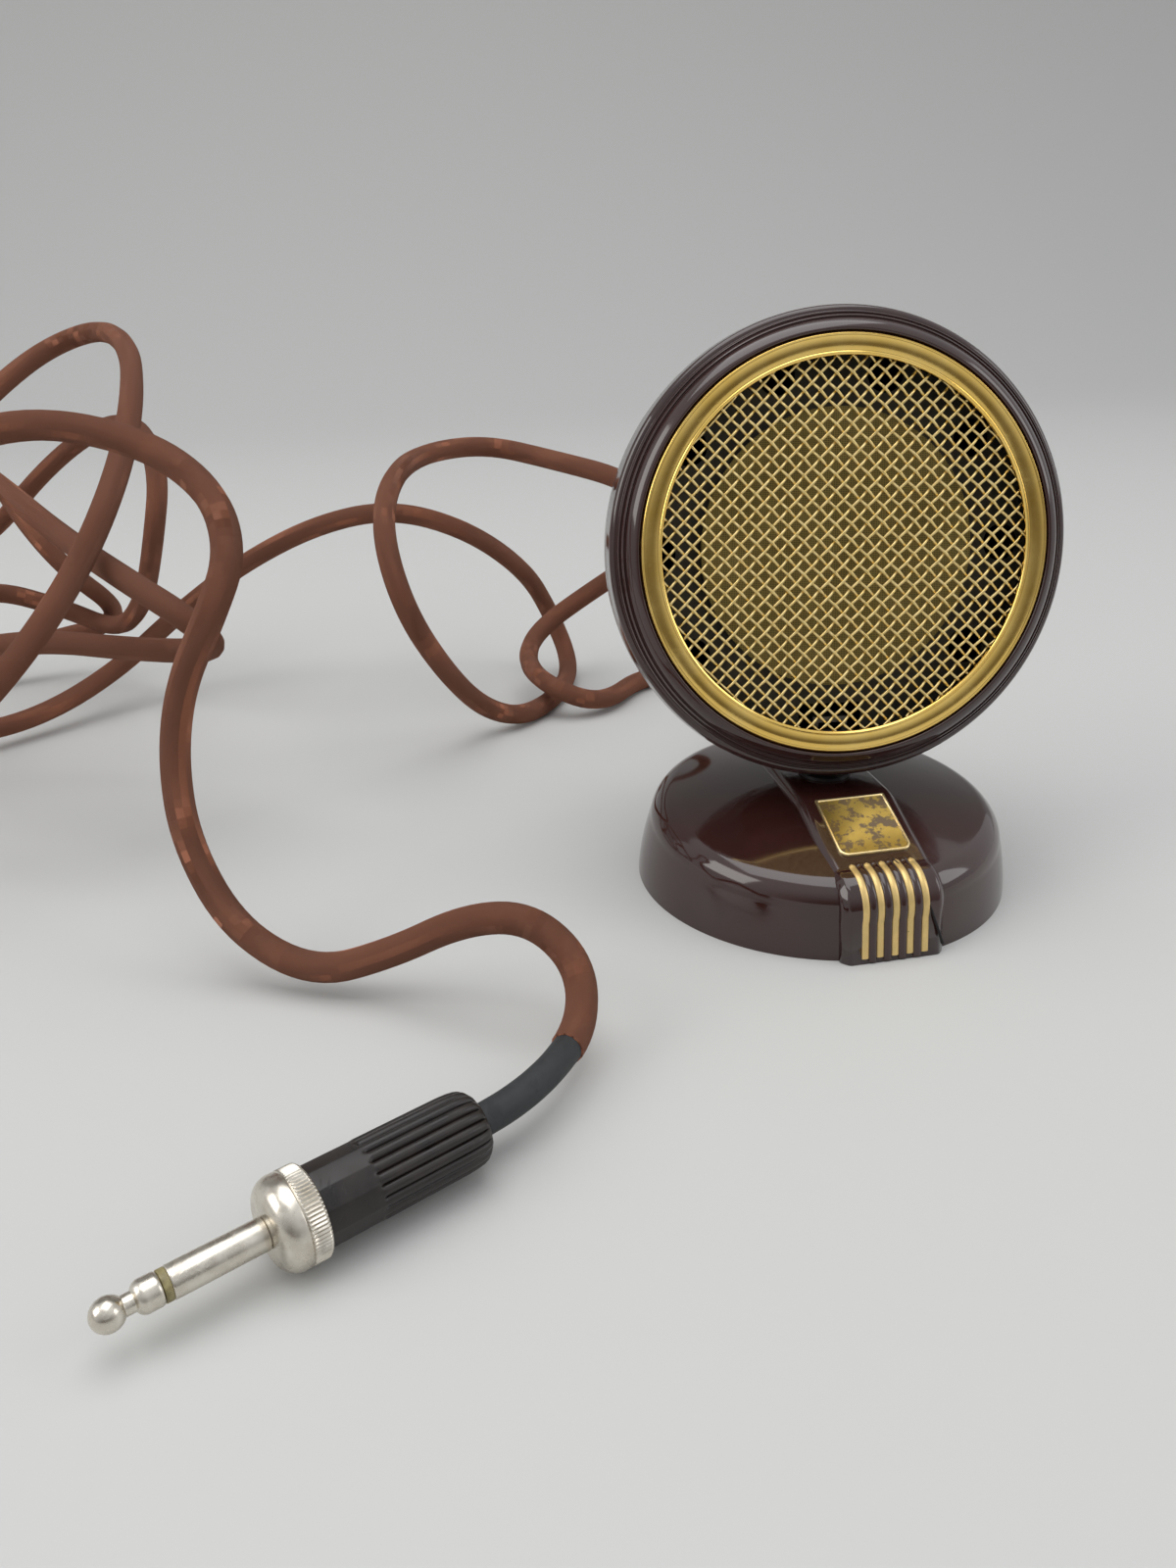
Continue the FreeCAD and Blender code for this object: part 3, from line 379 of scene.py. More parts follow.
def braidMaterial(length, girth, strand):
    # two families of strands wind round the cord and pass over and under each other
    material, tree, surface = startMaterial("Braid")
    place = addNode(tree, "ShaderNodeTexCoord")
    axes = addNode(tree, "ShaderNodeSeparateXYZ", {"Vector": place.outputs["UV"]})
    cell = strand * math.sqrt(2)
    u = calc(tree, "MULTIPLY", axes.outputs["Y"], round(length / cell))
    v = calc(tree, "MULTIPLY", axes.outputs["X"], round(girth / cell))
    a, b = calc(tree, "ADD", u, v), calc(tree, "SUBTRACT", u, v)
    halfTurns = [calc(tree, "MULTIPLY", x, math.pi) for x in (a, b)]
    ridgeA, ridgeB = (calc(tree, "ABSOLUTE", calc(tree, "SINE", x)) for x in halfTurns)
    cells = calc(tree, "ADD", calc(tree, "FLOOR", a), calc(tree, "FLOOR", b))
    over = calc(tree, "PINGPONG", cells, 1.0)
    height = addNode(tree, "ShaderNodeMix", {0: over, 2: ridgeA, 3: ridgeB}).outputs[0]
    fibre = addNode(tree, "ShaderNodeTexNoise", {
        "Vector": place.outputs["Object"], "Scale": 2600.0, "Detail": 4.0, "Roughness": 0.7})
    fading = addNode(tree, "ShaderNodeTexNoise", {
        "Vector": place.outputs["Object"], "Scale": 14.0, "Detail": 3.0, "Roughness": 0.6})
    # painted shade: the thread colour is darker where the braid's height is low, in the crevices between
    # strands, with real fibre noise on top
    creviceShadeAndFibre = calc(tree, "ADD", calc(tree, "MULTIPLY", ramp(tree, height, 0.15, 0.75), 0.75),
                calc(tree, "MULTIPLY", fibre.outputs[0], 0.3))
    threadAndCreviceShade = mixColour(tree, creviceShadeAndFibre, (0.085, 0.026, 0.015, 1), (0.46, 0.165, 0.088, 1))
    aged = mixColour(tree, calc(tree, "MULTIPLY", ramp(tree, fading.outputs[0], 0.35, 0.75), 0.25),
                     threadAndCreviceShade, (0.36, 0.16, 0.1, 1))
    tree.links.new(aged, surface.inputs["Base Color"])
    relief = calc(tree, "ADD", height, calc(tree, "MULTIPLY", fibre.outputs[0], 0.5))
    tree.links.new(bumpOf(tree, relief, 0.9, 0.0005), surface.inputs["Normal"])
    surface.inputs["Roughness"].default_value = 0.85
    surface.inputs["Specular IOR Level"].default_value = 0.25
    surface.inputs["Sheen Weight"].default_value = 0.25
    surface.inputs["Sheen Tint"].default_value = (0.75, 0.42, 0.3, 1)
    return material


# Camera
view = dict(place=(-0.12834, -0.29601, 0.169), heading=-11.1, pitch=23.9, roll=-1.4, focal=1202.0,
            tall=1600.0, sensor=36.0)
cameraData = bpy.data.cameras.new("PhotoCamera")
cameraData.sensor_width = view["sensor"]
cameraData.lens = view["sensor"] * view["focal"] / view["tall"]
cameraData.clip_start = 0.01
cameraObject = bpy.data.objects.new("PhotoCamera", cameraData)
cameraObject.matrix_world = (Matrix.Translation(view["place"])
                             @ Matrix.Rotation(math.radians(view["heading"]), 4, "Z")
                             @ Matrix.Rotation(math.radians(90 - view["pitch"]), 4, "X")
                             @ Matrix.Rotation(math.radians(view["roll"]), 4, "Z"))
bpy.context.scene.collection.objects.link(cameraObject)
bpy.context.scene.camera = cameraObject
print("camera set")

# Cord, from the grommet at the back of the foot to the plug's sleeve
cordFacts = dict(diameter=0.0078, length=3.196, strand=0.0016)
cordRoute = [
    (0, 0.062, 0.009), (0, 0.084, 0.009), (0.014, 0.112, 0.005), (0.032, 0.142, 0.004),
    (0.022, 0.172, 0.004), (-0.01, 0.178, 0.004), (-0.036, 0.142, 0.005), (-0.058, 0.148, 0.014),
    (-0.062, 0.174, 0.017), (-0.053, 0.19, 0.025), (-0.028, 0.192, 0.04), (-0.005, 0.178, 0.058),
    (-0.003, 0.16, 0.076), (-0.02, 0.16, 0.091), (-0.044, 0.194, 0.095), (-0.07, 0.206, 0.101),
    (-0.098, 0.188, 0.101), (-0.112, 0.15, 0.098), (-0.118, 0.116, 0.086), (-0.113, 0.098, 0.062),
    (-0.099, 0.114, 0.033), (-0.084, 0.134, 0.011), (-0.068, 0.14, 0.004), (-0.05, 0.162, 0.004),
    (-0.037, 0.2, 0.004), (-0.044, 0.214, 0.026), (-0.056, 0.202, 0.048), (-0.08, 0.196, 0.068),
    (-0.11, 0.194, 0.079), (-0.14, 0.194, 0.075), (-0.173, 0.214, 0.057), (-0.203, 0.222, 0.036),
    (-0.229, 0.208, 0.017), (-0.255, 0.182, 0.008), (-0.28, 0.164, 0.008), (-0.294, 0.142, 0.022),
    (-0.284, 0.124, 0.042), (-0.258, 0.122, 0.054), (-0.23, 0.11, 0.058), (-0.203, 0.093, 0.058),
    (-0.18, 0.08, 0.059), (-0.171, 0.064, 0.065), (-0.178, 0.055, 0.077), (-0.196, 0.076, 0.084),
    (-0.222, 0.118, 0.091), (-0.247, 0.16, 0.101), (-0.266, 0.188, 0.108), (-0.274, 0.212, 0.114),
    (-0.258, 0.232, 0.13), (-0.242, 0.256, 0.142), (-0.219, 0.248, 0.149), (-0.203, 0.204, 0.144),
    (-0.196, 0.15, 0.132), (-0.196, 0.104, 0.115), (-0.206, 0.079, 0.093), (-0.22, 0.062, 0.074),
    (-0.236, 0.046, 0.058), (-0.256, 0.04, 0.042), (-0.28, 0.058, 0.032), (-0.298, 0.098, 0.03),
    (-0.306, 0.15, 0.04), (-0.298, 0.198, 0.05), (-0.276, 0.22, 0.052), (-0.252, 0.228, 0.04),
    (-0.23, 0.226, 0.028), (-0.214, 0.202, 0.045), (-0.202, 0.173, 0.074), (-0.196, 0.182, 0.102),
    (-0.209, 0.23, 0.114), (-0.232, 0.262, 0.108), (-0.258, 0.268, 0.09), (-0.284, 0.268, 0.064),
    (-0.31, 0.27, 0.054), (-0.322, 0.286, 0.072), (-0.304, 0.292, 0.094), (-0.276, 0.262, 0.092),
    (-0.259, 0.231, 0.074), (-0.244, 0.22, 0.056), (-0.23, 0.23, 0.038), (-0.238, 0.248, 0.025),
    (-0.268, 0.258, 0.018), (-0.3, 0.248, 0.01), (-0.32, 0.216, 0.006), (-0.326, 0.168, 0.008),
    (-0.322, 0.12, 0.024), (-0.31, 0.08, 0.052), (-0.292, 0.05, 0.088), (-0.262, 0.038, 0.114),
    (-0.232, 0.037, 0.129), (-0.205, 0.036, 0.136), (-0.177, 0.028, 0.13), (-0.161, 0.016, 0.119),
    (-0.157, 0.001, 0.106), (-0.164, -0.006, 0.092), (-0.174, 0, 0.074), (-0.179, 0, 0.054),
    (-0.178, -0.008, 0.034), (-0.168, -0.02, 0.014), (-0.149, -0.034, 0.006), (-0.129, -0.04, 0.013),
    (-0.111, -0.05, 0.026), (-0.096, -0.056, 0.028), (-0.086, -0.064, 0.019), (-0.0873, -0.075, 0.0095),
    (-0.0928, -0.0834, 0.0095),
]


def makeCord():
    c = cordFacts
    braid = braidMaterial(c["length"], math.pi * c["diameter"], c["strand"])
    return tubeCurve("BraidedCord", cordRoute, c["diameter"] / 2, braid, along=8, around=4)


cord = makeCord()
show(cord, "foot", "braid", "cord")
print("cord laid")

# Foot
foot = dict(lean=4.0, setback=1.2, radius=53.8, skirt=6.0, waist=52.4, waistHeight=10.0, shoulder=50.6,
            shoulderHeight=17.0, crownBend=48.2, crownBendHeight=22.0, crownEdge=44.5,
            crownEdgeHeight=24.0, crown=29.6, wall=3.0, flare=0.4)
band = dict(width=24.8, bevel=2.0, deep=4.0, front=53.6, wallOut=52.0, wallHeight=11.0, bendOut=50.4,
            bendHeight=18.2, slopeEnd=42.0, slopeEndHeight=22.2, platformFront=16.5, platformBack=26.0,
            platform=31.5, rearOut=47.7, rearHeight=28.4, rearBendOut=52.6, rearBendHeight=25.4,
            rearWallOut=54.8, rearWallHeight=19.0, back=55.8,
            offTable=0.02, soften=0.7)
stripes = dict(count=5, width=1.9, pitch=4.15, proud=0.25, low=1.2, high=22.75, rib=0.5, ribLow=0.3,
               ribOver=0.3, leastWidth=0.02, sunk=0.3)


def capArc(edge, height, top):
    rise = top - height
    ball = (edge ** 2 + rise ** 2) / (2 * rise)
    return edge / 2, top - ball + math.sqrt(ball ** 2 - (edge / 2) ** 2), 0, top


def makeDome():
    f = foot
    w = f["wall"]
    outline = [
        (0, f["crown"] - w),
        (*capArc(f["crownEdge"] - w, f["crownEdgeHeight"] - w, f["crown"] - w)[:2],
         f["crownEdge"] - w, f["crownEdgeHeight"] - w),
        (f["shoulder"] - w, f["shoulderHeight"] - w / 3),
        (f["waist"] - w, f["waistHeight"]),
        (f["radius"] - w, -f["skirt"]),
        (f["radius"] + f["flare"], -f["skirt"]),
        (f["radius"], 0),
        (f["waist"], f["waistHeight"], f["shoulder"], f["shoulderHeight"]),
        (f["crownBend"], f["crownBendHeight"], f["crownEdge"], f["crownEdgeHeight"]),
        capArc(f["crownEdge"], f["crownEdgeHeight"], f["crown"]),
    ]
    lean = Matrix.Translation((0, f["setback"] * mm, 0)) @ Matrix.Rotation(math.radians(f["lean"]), 4, "X")
    dome = lathe("FootShell", outline, bakelite, lean, segments=256, soften=3.0, steps=18, sharp=50)
    work = bmesh.new()
    work.from_mesh(dome.data)
    cutBelow(work, 0)
    bmesh.ops.recalc_face_normals(work, faces=work.faces)
    work.to_mesh(dome.data)
    work.free()
    dome.data.shade_smooth()
    dome.data.set_sharp_from_angle(angle=math.radians(50))
    return dome


def bandLine():
    b = band
    return outlinePoints([
        (-b["front"], 0),
        (-b["wallOut"], b["wallHeight"]),
        (-b["bendOut"], b["bendHeight"], -b["slopeEnd"], b["slopeEndHeight"]),
        (-b["platformFront"], b["platform"]),
        (b["platformBack"], b["platform"]),
        (b["rearOut"], b["rearHeight"]),
        (b["rearBendOut"], b["rearBendHeight"], b["rearWallOut"], b["rearWallHeight"]),
        (b["back"], 0),
    ], soften=2.2, steps=12, closed=False)


def normalsOf(line):
    normals = []
    for k in range(len(line)):
        a, b = line[max(k - 1, 0)], line[min(k + 1, len(line) - 1)]
        along = Vector((b[0] - a[0], b[1] - a[1])).normalized()
        normals.append(Vector((-along[1], along[0])))
    return normals


def sweptBand(name, line, section, material):
    # the section is a closed loop of (across, above the line)
    normals = normalsOf(line)
    vertices = []
    for (y, z), normal in zip(line, normals):
        for across, above in section:
            vertices.append((across, y + normal[0] * above, z + normal[1] * above))
    return meshObject(name, vertices, tubeFaces(len(line), len(section)), material)


def makeBand():
    half, bevel, deep = band["width"] / 2, band["bevel"], band["deep"]
    section = outlinePoints([(-half - bevel, -bevel), (-half, 0), (half, 0), (half + bevel, -bevel),
                             (half + bevel, -deep), (-half - bevel, -deep)], soften=band["soften"])
    piece = sweptBand("FootBand", bandLine(), section, bakelite)
    work = bmesh.new()
    work.from_mesh(piece.data)
    cutBelow(work, band["offTable"] * mm)
    work.to_mesh(piece.data)
    work.free()
    return piece


show(makeDome(), "foot", "bakelite", "base_shell")
show(makeBand(), "foot", "bakelite", "base_shell")


def frontLine(low, high):
    # the band's front wall and bend between two heights, with even steps
    b = band
    whole = [(-b["front"], 0), (-b["wallOut"], b["wallHeight"])]
    bend, slope = (-b["bendOut"], b["bendHeight"]), (-b["slopeEnd"], b["slopeEndHeight"])
    whole += arcThrough(whole[-1], bend, slope, 24)
    whole.append((-b["platformFront"], b["platform"]))
    steps = []
    for (ya, za), (yb, zb) in zip(whole, whole[1:]):
        parts = max(1, round(math.hypot(yb - ya, zb - za) / 0.5))
        steps += [(ya + (yb - ya) * k / parts, za + (zb - za) * k / parts) for k in range(parts)]
    return [p for p in steps if low <= p[1] <= high]


def stripPiece(name, middle, width, proud, low, high, material):
    # a low crowned strip on the band's front, with a round upper end
    line = frontLine(low, high)
    normals = normalsOf(line)
    reach = [0.0]
    for a, b in zip(line, line[1:]):
        reach.append(reach[-1] + math.hypot(b[0] - a[0], b[1] - a[1]))
    across = (-1, -0.8, -0.4, 0, 0.4, 0.8, 1)
    half = width / 2
    vertices = []
    for (y, z), normal, along in zip(line, normals, reach):
        left = max(0.0, reach[-1] - along)
        grow = 1.0 if left > half else math.sqrt(max(0.0, 1 - ((half - left) / half) ** 2))
        side = half * max(grow, stripes["leastWidth"])
        section = [(a * side, proud * (1 - abs(a) ** 3) * (0.3 + 0.7 * grow)) for a in across]
        section += [(side, -stripes["sunk"]), (-side, -stripes["sunk"])]
        for x, above in section:
            vertices.append((middle + x, y + normal[0] * above, z + normal[1] * above))
    return meshObject(name, vertices, tubeFaces(len(line), len(across) + 2), material, sharp=60)


def makeStripes():
    s = stripes
    for k in range(s["count"]):
        middle = (k - (s["count"] - 1) / 2) * s["pitch"]
        piece = stripPiece(f"GiltStripe{k + 1}", middle, s["width"], s["proud"], s["low"], s["high"], gilt)
        show(piece, "foot", "gilt", f"gilt_stripe_{k + 1}")
    for k in range(s["count"] - 1):
        middle = (k - (s["count"] - 2) / 2) * s["pitch"]
        rib = stripPiece(f"FootRib{k + 1}", middle, s["pitch"] - s["width"], s["rib"], s["ribLow"],
                         s["high"] + s["ribOver"], bakelite)
        show(rib, "foot", "bakelite", "base_shell")


makeStripes()


def makeBadge():
    # a bare brass plate with a raised bright rim; its two lower corners are round
    b = dict(width=20.3, length=21.4, thick=0.8, corner=2.6, start=1.6, rim=0.75, rise=0.3)
    slope = math.atan2(band["platform"] - band["slopeEndHeight"], band["slopeEnd"] - band["platformFront"])
    place = (Matrix.Translation((0, -band["platformFront"] * mm, band["platform"] * mm))
             @ Matrix.Rotation(slope, 4, "X") @ Matrix.Translation((0, -b["start"] * mm, 0)))

    def loop(inset, height):
        half, low, r = b["width"] / 2 - inset, -b["length"] + inset, max(b["corner"] - inset, 0.4)
        top = -inset
        points = [(-half + 0.3, top), (-half, top - 0.3)]
        for k in range(9):
            turn = math.pi + math.pi / 2 * k / 8
            points.append((-half + r + r * math.cos(turn), low + r + r * math.sin(turn)))
        for k in range(9):
            turn = -math.pi / 2 + math.pi / 2 * k / 8
            points.append((half - r + r * math.cos(turn), low + r + r * math.sin(turn)))
        points += [(half, top - 0.3), (half - 0.3, top)]
        return [(x, y, height) for x, y in points]

    t, rim, rise = b["thick"], b["rim"], b["rise"]
    rings = [loop(0, 0), loop(0, t - 0.15), loop(0.15, t), loop(rim - 0.2, t), loop(rim, t - rise)]
    count = len(rings[0])
    vertices = [p for ring in rings for p in ring]
    *sides, back, field = tubeFaces(len(rings), count)
    faces = [*sides, back[::-1], field[::-1]]
    piece = meshObject("BadgePlate", vertices, faces, badgeRim, place, sharp=50)
    piece.data.materials.append(badgeField)
    piece.data.polygons[len(faces) - 1].material_index = 1
    return piece


show(makeBadge(), "foot", "badge_brass", "badge_plate")


# An old crack that runs from the plate down to the foot's rim and widens on the way
crack = dict(thick=0.3, start=0.5, widen=0.9, route=[
    (3.4, -40.5, 23.0), (5.6, -45.8, 21.4), (7.4, -49.6, 18.9), (9.0, -51.8, 15.0), (10.6, -52.5, 10.5),
    (12.2, -53.2, 6.0), (13.2, -53.5, 3.2)])


def makeCrack():
    places = [[c * mm for c in place] for place in crack["route"]]
    return tubeCurve("FootCrack", places, crack["thick"] * mm, crackDark, along=12, around=2,
                     swell=lambda part: crack["start"] + crack["widen"] * part)


show(makeCrack(), "foot", "bakelite")
print("foot made")

# Head, in its own frame: +Z runs backwards from the brass ring's front, +Y is down
head = dict(swivel=-7.4, lean=12.0, height=98.5, forward=7.8, radius=62.5, ringOuter=54.4, ringInner=48.7,
            ringDepth=1.75, seat=51.7, web=4.8, parting=17.0, wall=2.6, bulge=58.2, bulgeDepth=30.0,
            turn=46.0, turnDepth=41.0, depth=49.0, partingGap=0.15, partingBevel=0.25, partingEdge=0.4)
headPlace = (Matrix.Rotation(math.radians(head["swivel"]), 4, "Z")
             @ Matrix.Translation((0, -head["forward"] * mm, head["height"] * mm))
             @ Matrix.Rotation(math.radians(-90 - head["lean"]), 4, "X"))


# Bezel profile: pairs are outwards from the ring's seat, and backwards
bezel = dict(clearance=0.3, bore=0.6, lip=(0.5, 0.35), cove=(1.9, 1.1, 3.3, 2.9),
             shoulder=(6.6, 6.3, 7.35, 8.0),
             ribs=[(3.45, 3.5), (3.9, 3.1), (4.3, 3.7), (4.6, 4.7), (5.0, 4.3), (5.35, 4.9), (5.5, 6.0)],
             rim=11.2, groove=13.5, grooveHalf=0.3, grooveDeep=0.35, inside=11.0, webOut=0.5)


def makeBezel():
    h, b = head, bezel
    r, ring, wall = h["radius"], h["ringOuter"] + b["clearance"], h["wall"]
    cove, shoulder = b["cove"], b["shoulder"]
    outline = [
        (h["seat"], h["ringDepth"]),
        (ring, h["ringDepth"]),
        (ring, b["bore"]),
        (ring + b["lip"][0], b["lip"][1]),
        (ring + cove[0], cove[1], ring + cove[2], cove[3]),
        *((ring + out, depth) for out, depth in b["ribs"]),
        (ring + shoulder[0], shoulder[1], ring + shoulder[2], shoulder[3]),
        (r, b["rim"]),
        (r, b["groove"] - b["grooveHalf"]),
        (r - b["grooveDeep"], b["groove"]),
        (r, b["groove"] + b["grooveHalf"]),
        (r, h["parting"]),
        (r - wall, h["parting"]),
        (r - wall, b["inside"]),
        (ring + b["webOut"], h["web"]),
        (h["seat"], h["web"]),
    ]
    return lathe("HeadBezel", outline, bakelite, headPlace, segments=256, soften=0.3, steps=8)


def makeShell():
    h = head
    wall, start = h["wall"], h["parting"] + h["partingGap"]
    inner = capArc(h["turn"] - wall / 2, h["turnDepth"] - wall, h["depth"] - wall)
    outline = [
        (h["radius"] - wall, start),
        (h["radius"] - h["partingBevel"], start),
        (h["radius"], h["parting"] + h["partingEdge"]),
        (h["bulge"], h["bulgeDepth"], h["turn"], h["turnDepth"]),
        capArc(h["turn"], h["turnDepth"], h["depth"]),
        (0, h["depth"] - wall),
        (*inner[:2], h["turn"] - wall / 2, h["turnDepth"] - wall),
        (h["bulge"] - wall, h["bulgeDepth"] - wall / 3, h["radius"] - wall, start),
    ]
    return lathe("RearShell", outline, bakelite, headPlace, segments=192, soften=0.2, steps=16, sharp=40)


def cutSlot(piece):
    # the post's tongue passes through this slot as the head tilts
    slot = dict(width=8.4, front=12.2, back=29.8, top=53.1, tall=15.0)
    work = bmesh.new()
    bmesh.ops.create_cube(work, size=1.0)
    half = Matrix.Diagonal((slot["width"] * mm, slot["tall"] * mm, (slot["back"] - slot["front"]) * mm, 1))
    middle = (0, (slot["top"] + slot["tall"] / 2) * mm, (slot["front"] + slot["back"]) / 2 * mm)
    bmesh.ops.transform(work, matrix=headPlace @ Matrix.Translation(middle) @ half, verts=work.verts)
    mesh = bpy.data.meshes.new("slotCutter")
    work.to_mesh(mesh)
    work.free()
    cutter = bpy.data.objects.new("slotCutter", mesh)
    bpy.context.scene.collection.objects.link(cutter)
    boolean = piece.modifiers.new("slot", "BOOLEAN")
    boolean.operation = "DIFFERENCE"
    boolean.object = cutter
    boolean.solver = "EXACT"
    shaped = bpy.data.meshes.new_from_object(piece.evaluated_get(bpy.context.evaluated_depsgraph_get()))
    piece.modifiers.clear()
    piece.data = shaped
    bpy.data.objects.remove(cutter)
    return piece


show(cutSlot(makeBezel()), "head", "bakelite", "head_bezel")
show(cutSlot(makeShell()), "head", "bakelite", "rear_shell")

# Ring profile: pairs are in from its outer edge or out from its inner one, and backwards
ringShape = dict(outerEdge=0.8, outerBead=(0.5, 0.2), outerDip=(0.9, 0.42), crown=0.25, innerDip=(1.0, 0.75),
                 innerBead=(0.6, 0.45), innerEdge=0.9)


def makeRing():
    s, outer, inner = ringShape, head["ringOuter"], head["ringInner"]
    outline = [
        (inner, head["ringDepth"]),
        (outer, head["ringDepth"]),
        (outer, s["outerEdge"]),
        (outer - s["outerBead"][0], s["outerBead"][1]),
        (outer - s["outerDip"][0], s["outerDip"][1]),
        ((outer + inner) / 2, s["crown"], inner + s["innerDip"][0], s["innerDip"][1]),
        (inner + s["innerBead"][0], s["innerBead"][1]),
        (inner, s["innerEdge"]),
    ]
    return lathe("BrassRing", outline, ringBrass, headPlace, segments=256, soften=0.15)


show(makeRing(), "head", "brass", "grille_ring")

# Woven wire cloth: one layer of crimped wires per tree, each wire over and under its neighbours
weave = dict(wire=0.42, pitch=3.0, reach=51.0, depth=2.95, step=0.75, sides=6)


def wireTree():
    tree = bpy.data.node_groups.new("CrimpedWires", "GeometryNodeTree")
    tree.interface.new_socket("Geometry", in_out="INPUT", socket_type="NodeSocketGeometry")
    inputs = {"Wire Radius": "Float", "Pitch": "Float", "Reach": "Float", "Step": "Float", "Side": "Float",
              "Sides": "Int", "Finish": "Material"}
    for label, kind in inputs.items():
        tree.interface.new_socket(label, in_out="INPUT", socket_type="NodeSocket" + kind)
    tree.interface.new_socket("Geometry", in_out="OUTPUT", socket_type="NodeSocketGeometry")
    given, result = tree.nodes.new("NodeGroupInput"), tree.nodes.new("NodeGroupOutput")

    def add(kind, links=None, **settings):
        return addNode(tree, kind, links, **settings)

    def sums(operation, a, b=0.0):
        return add("ShaderNodeMath", {0: a, 1: b}, operation=operation).outputs[0]

    pitch, reach = given.outputs["Pitch"], given.outputs["Reach"]
    half = sums("FLOOR", sums("DIVIDE", reach, pitch))
    count = sums("ADD", sums("MULTIPLY", half, 2.0), 1.0)
    low = sums("MULTIPLY", sums("MULTIPLY", half, pitch), -1.0)
    start = add("ShaderNodeCombineXYZ", {"Y": low})
    gap = add("ShaderNodeCombineXYZ", {"Y": pitch})
    rows = add("GeometryNodeMeshLine", {
        "Count": count, "Start Location": start.outputs[0], "Offset": gap.outputs[0]})
    place = add("ShaderNodeSeparateXYZ", {"Vector": add("GeometryNodeInputPosition").outputs[0]})
    off = place.outputs["Y"]
    square = sums("SUBTRACT", sums("MULTIPLY", reach, reach), sums("MULTIPLY", off, off))
    long = sums("SQRT", sums("MAXIMUM", square, 1e-8))
    single = add("GeometryNodeCurvePrimitiveLine", {"Start": (-1, 0, 0), "End": (1, 0, 0)})
    stretch = add("ShaderNodeCombineXYZ", {"X": long, "Y": 1.0, "Z": 1.0})
    wires = add("GeometryNodeInstanceOnPoints", {
        "Points": rows.outputs[0], "Instance": single.outputs[0], "Scale": stretch.outputs[0]})
    real = add("GeometryNodeRealizeInstances", {"Geometry": wires.outputs[0]})
    fine = add("GeometryNodeResampleCurve", {
        "Curve": real.outputs[0], "Length": given.outputs["Step"]}, mode="LENGTH")
    spot = add("ShaderNodeSeparateXYZ", {"Vector": add("GeometryNodeInputPosition").outputs[0]})
    row = sums("ROUND", sums("DIVIDE", spot.outputs["Y"], pitch))
    phase = sums("MULTIPLY", sums("ADD", sums("DIVIDE", spot.outputs["X"], pitch), row), math.pi)
    swing = sums("MULTIPLY", sums("COSINE", phase), given.outputs["Wire Radius"])
    rise = sums("MULTIPLY", swing, given.outputs["Side"])
    crimp = add("GeometryNodeSetPosition", {
        "Geometry": fine.outputs[0], "Offset": add("ShaderNodeCombineXYZ", {"Z": rise}).outputs[0]})
    circle = add("GeometryNodeCurvePrimitiveCircle", {
        "Resolution": given.outputs["Sides"], "Radius": given.outputs["Wire Radius"]})
    tubes = add("GeometryNodeCurveToMesh", {
        "Curve": crimp.outputs[0], "Profile Curve": circle.outputs[0], "Fill Caps": True})
    smooth = add("GeometryNodeSetShadeSmooth", {"Geometry": tubes.outputs[0]})
    whole = add("GeometryNodeRealizeInstances", {"Geometry": smooth.outputs[0]})
    finish = add("GeometryNodeSetMaterial", {
        "Geometry": whole.outputs[0], "Material": given.outputs["Finish"]})
    tree.links.new(finish.outputs[0], result.inputs[0])
    return tree


def wovenLayer(name, tree, turn, side):
    w = weave
    piece = bpy.data.objects.new(name, bpy.data.meshes.new(name))
    bpy.context.scene.collection.objects.link(piece)
    modifier = piece.modifiers.new("wires", "NODES")
    modifier.node_group = tree
    values = {"Wire Radius": w["wire"] * mm, "Pitch": w["pitch"] * mm, "Reach": w["reach"] * mm,
              "Step": w["step"] * mm, "Side": side, "Sides": w["sides"], "Finish": wireBrass}
    for item in tree.interface.items_tree:
        if item.in_out == "INPUT" and item.name in values:
            modifier[item.identifier] = values[item.name]
    made = bpy.data.meshes.new_from_object(piece.evaluated_get(bpy.context.evaluated_depsgraph_get()))
    piece.modifiers.clear()
    made.transform(headPlace @ Matrix.Translation((0, 0, w["depth"] * mm)) @ Matrix.Rotation(turn, 4, "Z"))
    piece.data = made
    return piece


wires = wireTree()
show(wovenLayer("WireWarp", wires, math.radians(45), 1.0), "head", "brass", "grille_warp")
show(wovenLayer("WireWeft", wires, math.radians(-45), -1.0), "head", "brass", "grille_weft")
print("head made")

# Plug, in its own frame: +Z runs from the tip's ball to the handle's rear
plug = dict(tip=(-181.5, -137.5, 9.5), turn=27.0, ball=3.15, neck=1.9, neckPlace=4.3, tipLength=9.0,
            ringLength=1.4, shaft=3.175, shaftEnd=28.3, collar=9.3, collarFace=5.4, collarEnd=37.5,
            handle=8.2, handleEnd=74.0, fluteStart=48.5, fluteCount=20, sleeve=7.0, sleeveTurn=30.0,
            sleeveLength=31.0, knurlStart=33.6, knurlEnd=37.4, knurlFade=0.4, knurlCount=72, knurlDeep=0.16,
            knurlEdge=0.4, fluteEnd=72.4, fluteFade=1.4, fluteDeep=0.95, handleSides=12, sideShare=0.6,
            handleCore=5.0)
plugPlace = (Matrix.Translation(Vector(plug["tip"]) * mm)
             @ Matrix.Rotation(math.radians(plug["turn"]), 4, "Z")
             @ Matrix.Rotation(math.radians(90), 4, "Y"))


def ramped(value, low, high):
    t = min(1.0, max(0.0, (value - low) / (high - low)))
    return t * t * (3 - 2 * t)


def knurl(radius, depth, turn):
    p = plug
    if radius < p["collar"] - p["knurlEdge"]:
        return 0
    begun = ramped(depth, p["knurlStart"], p["knurlStart"] + p["knurlFade"])
    ended = ramped(depth, p["knurlEnd"] - p["knurlFade"], p["knurlEnd"])
    return -p["knurlDeep"] * (1 + math.cos(turn * p["knurlCount"])) * begun * (1 - ended)


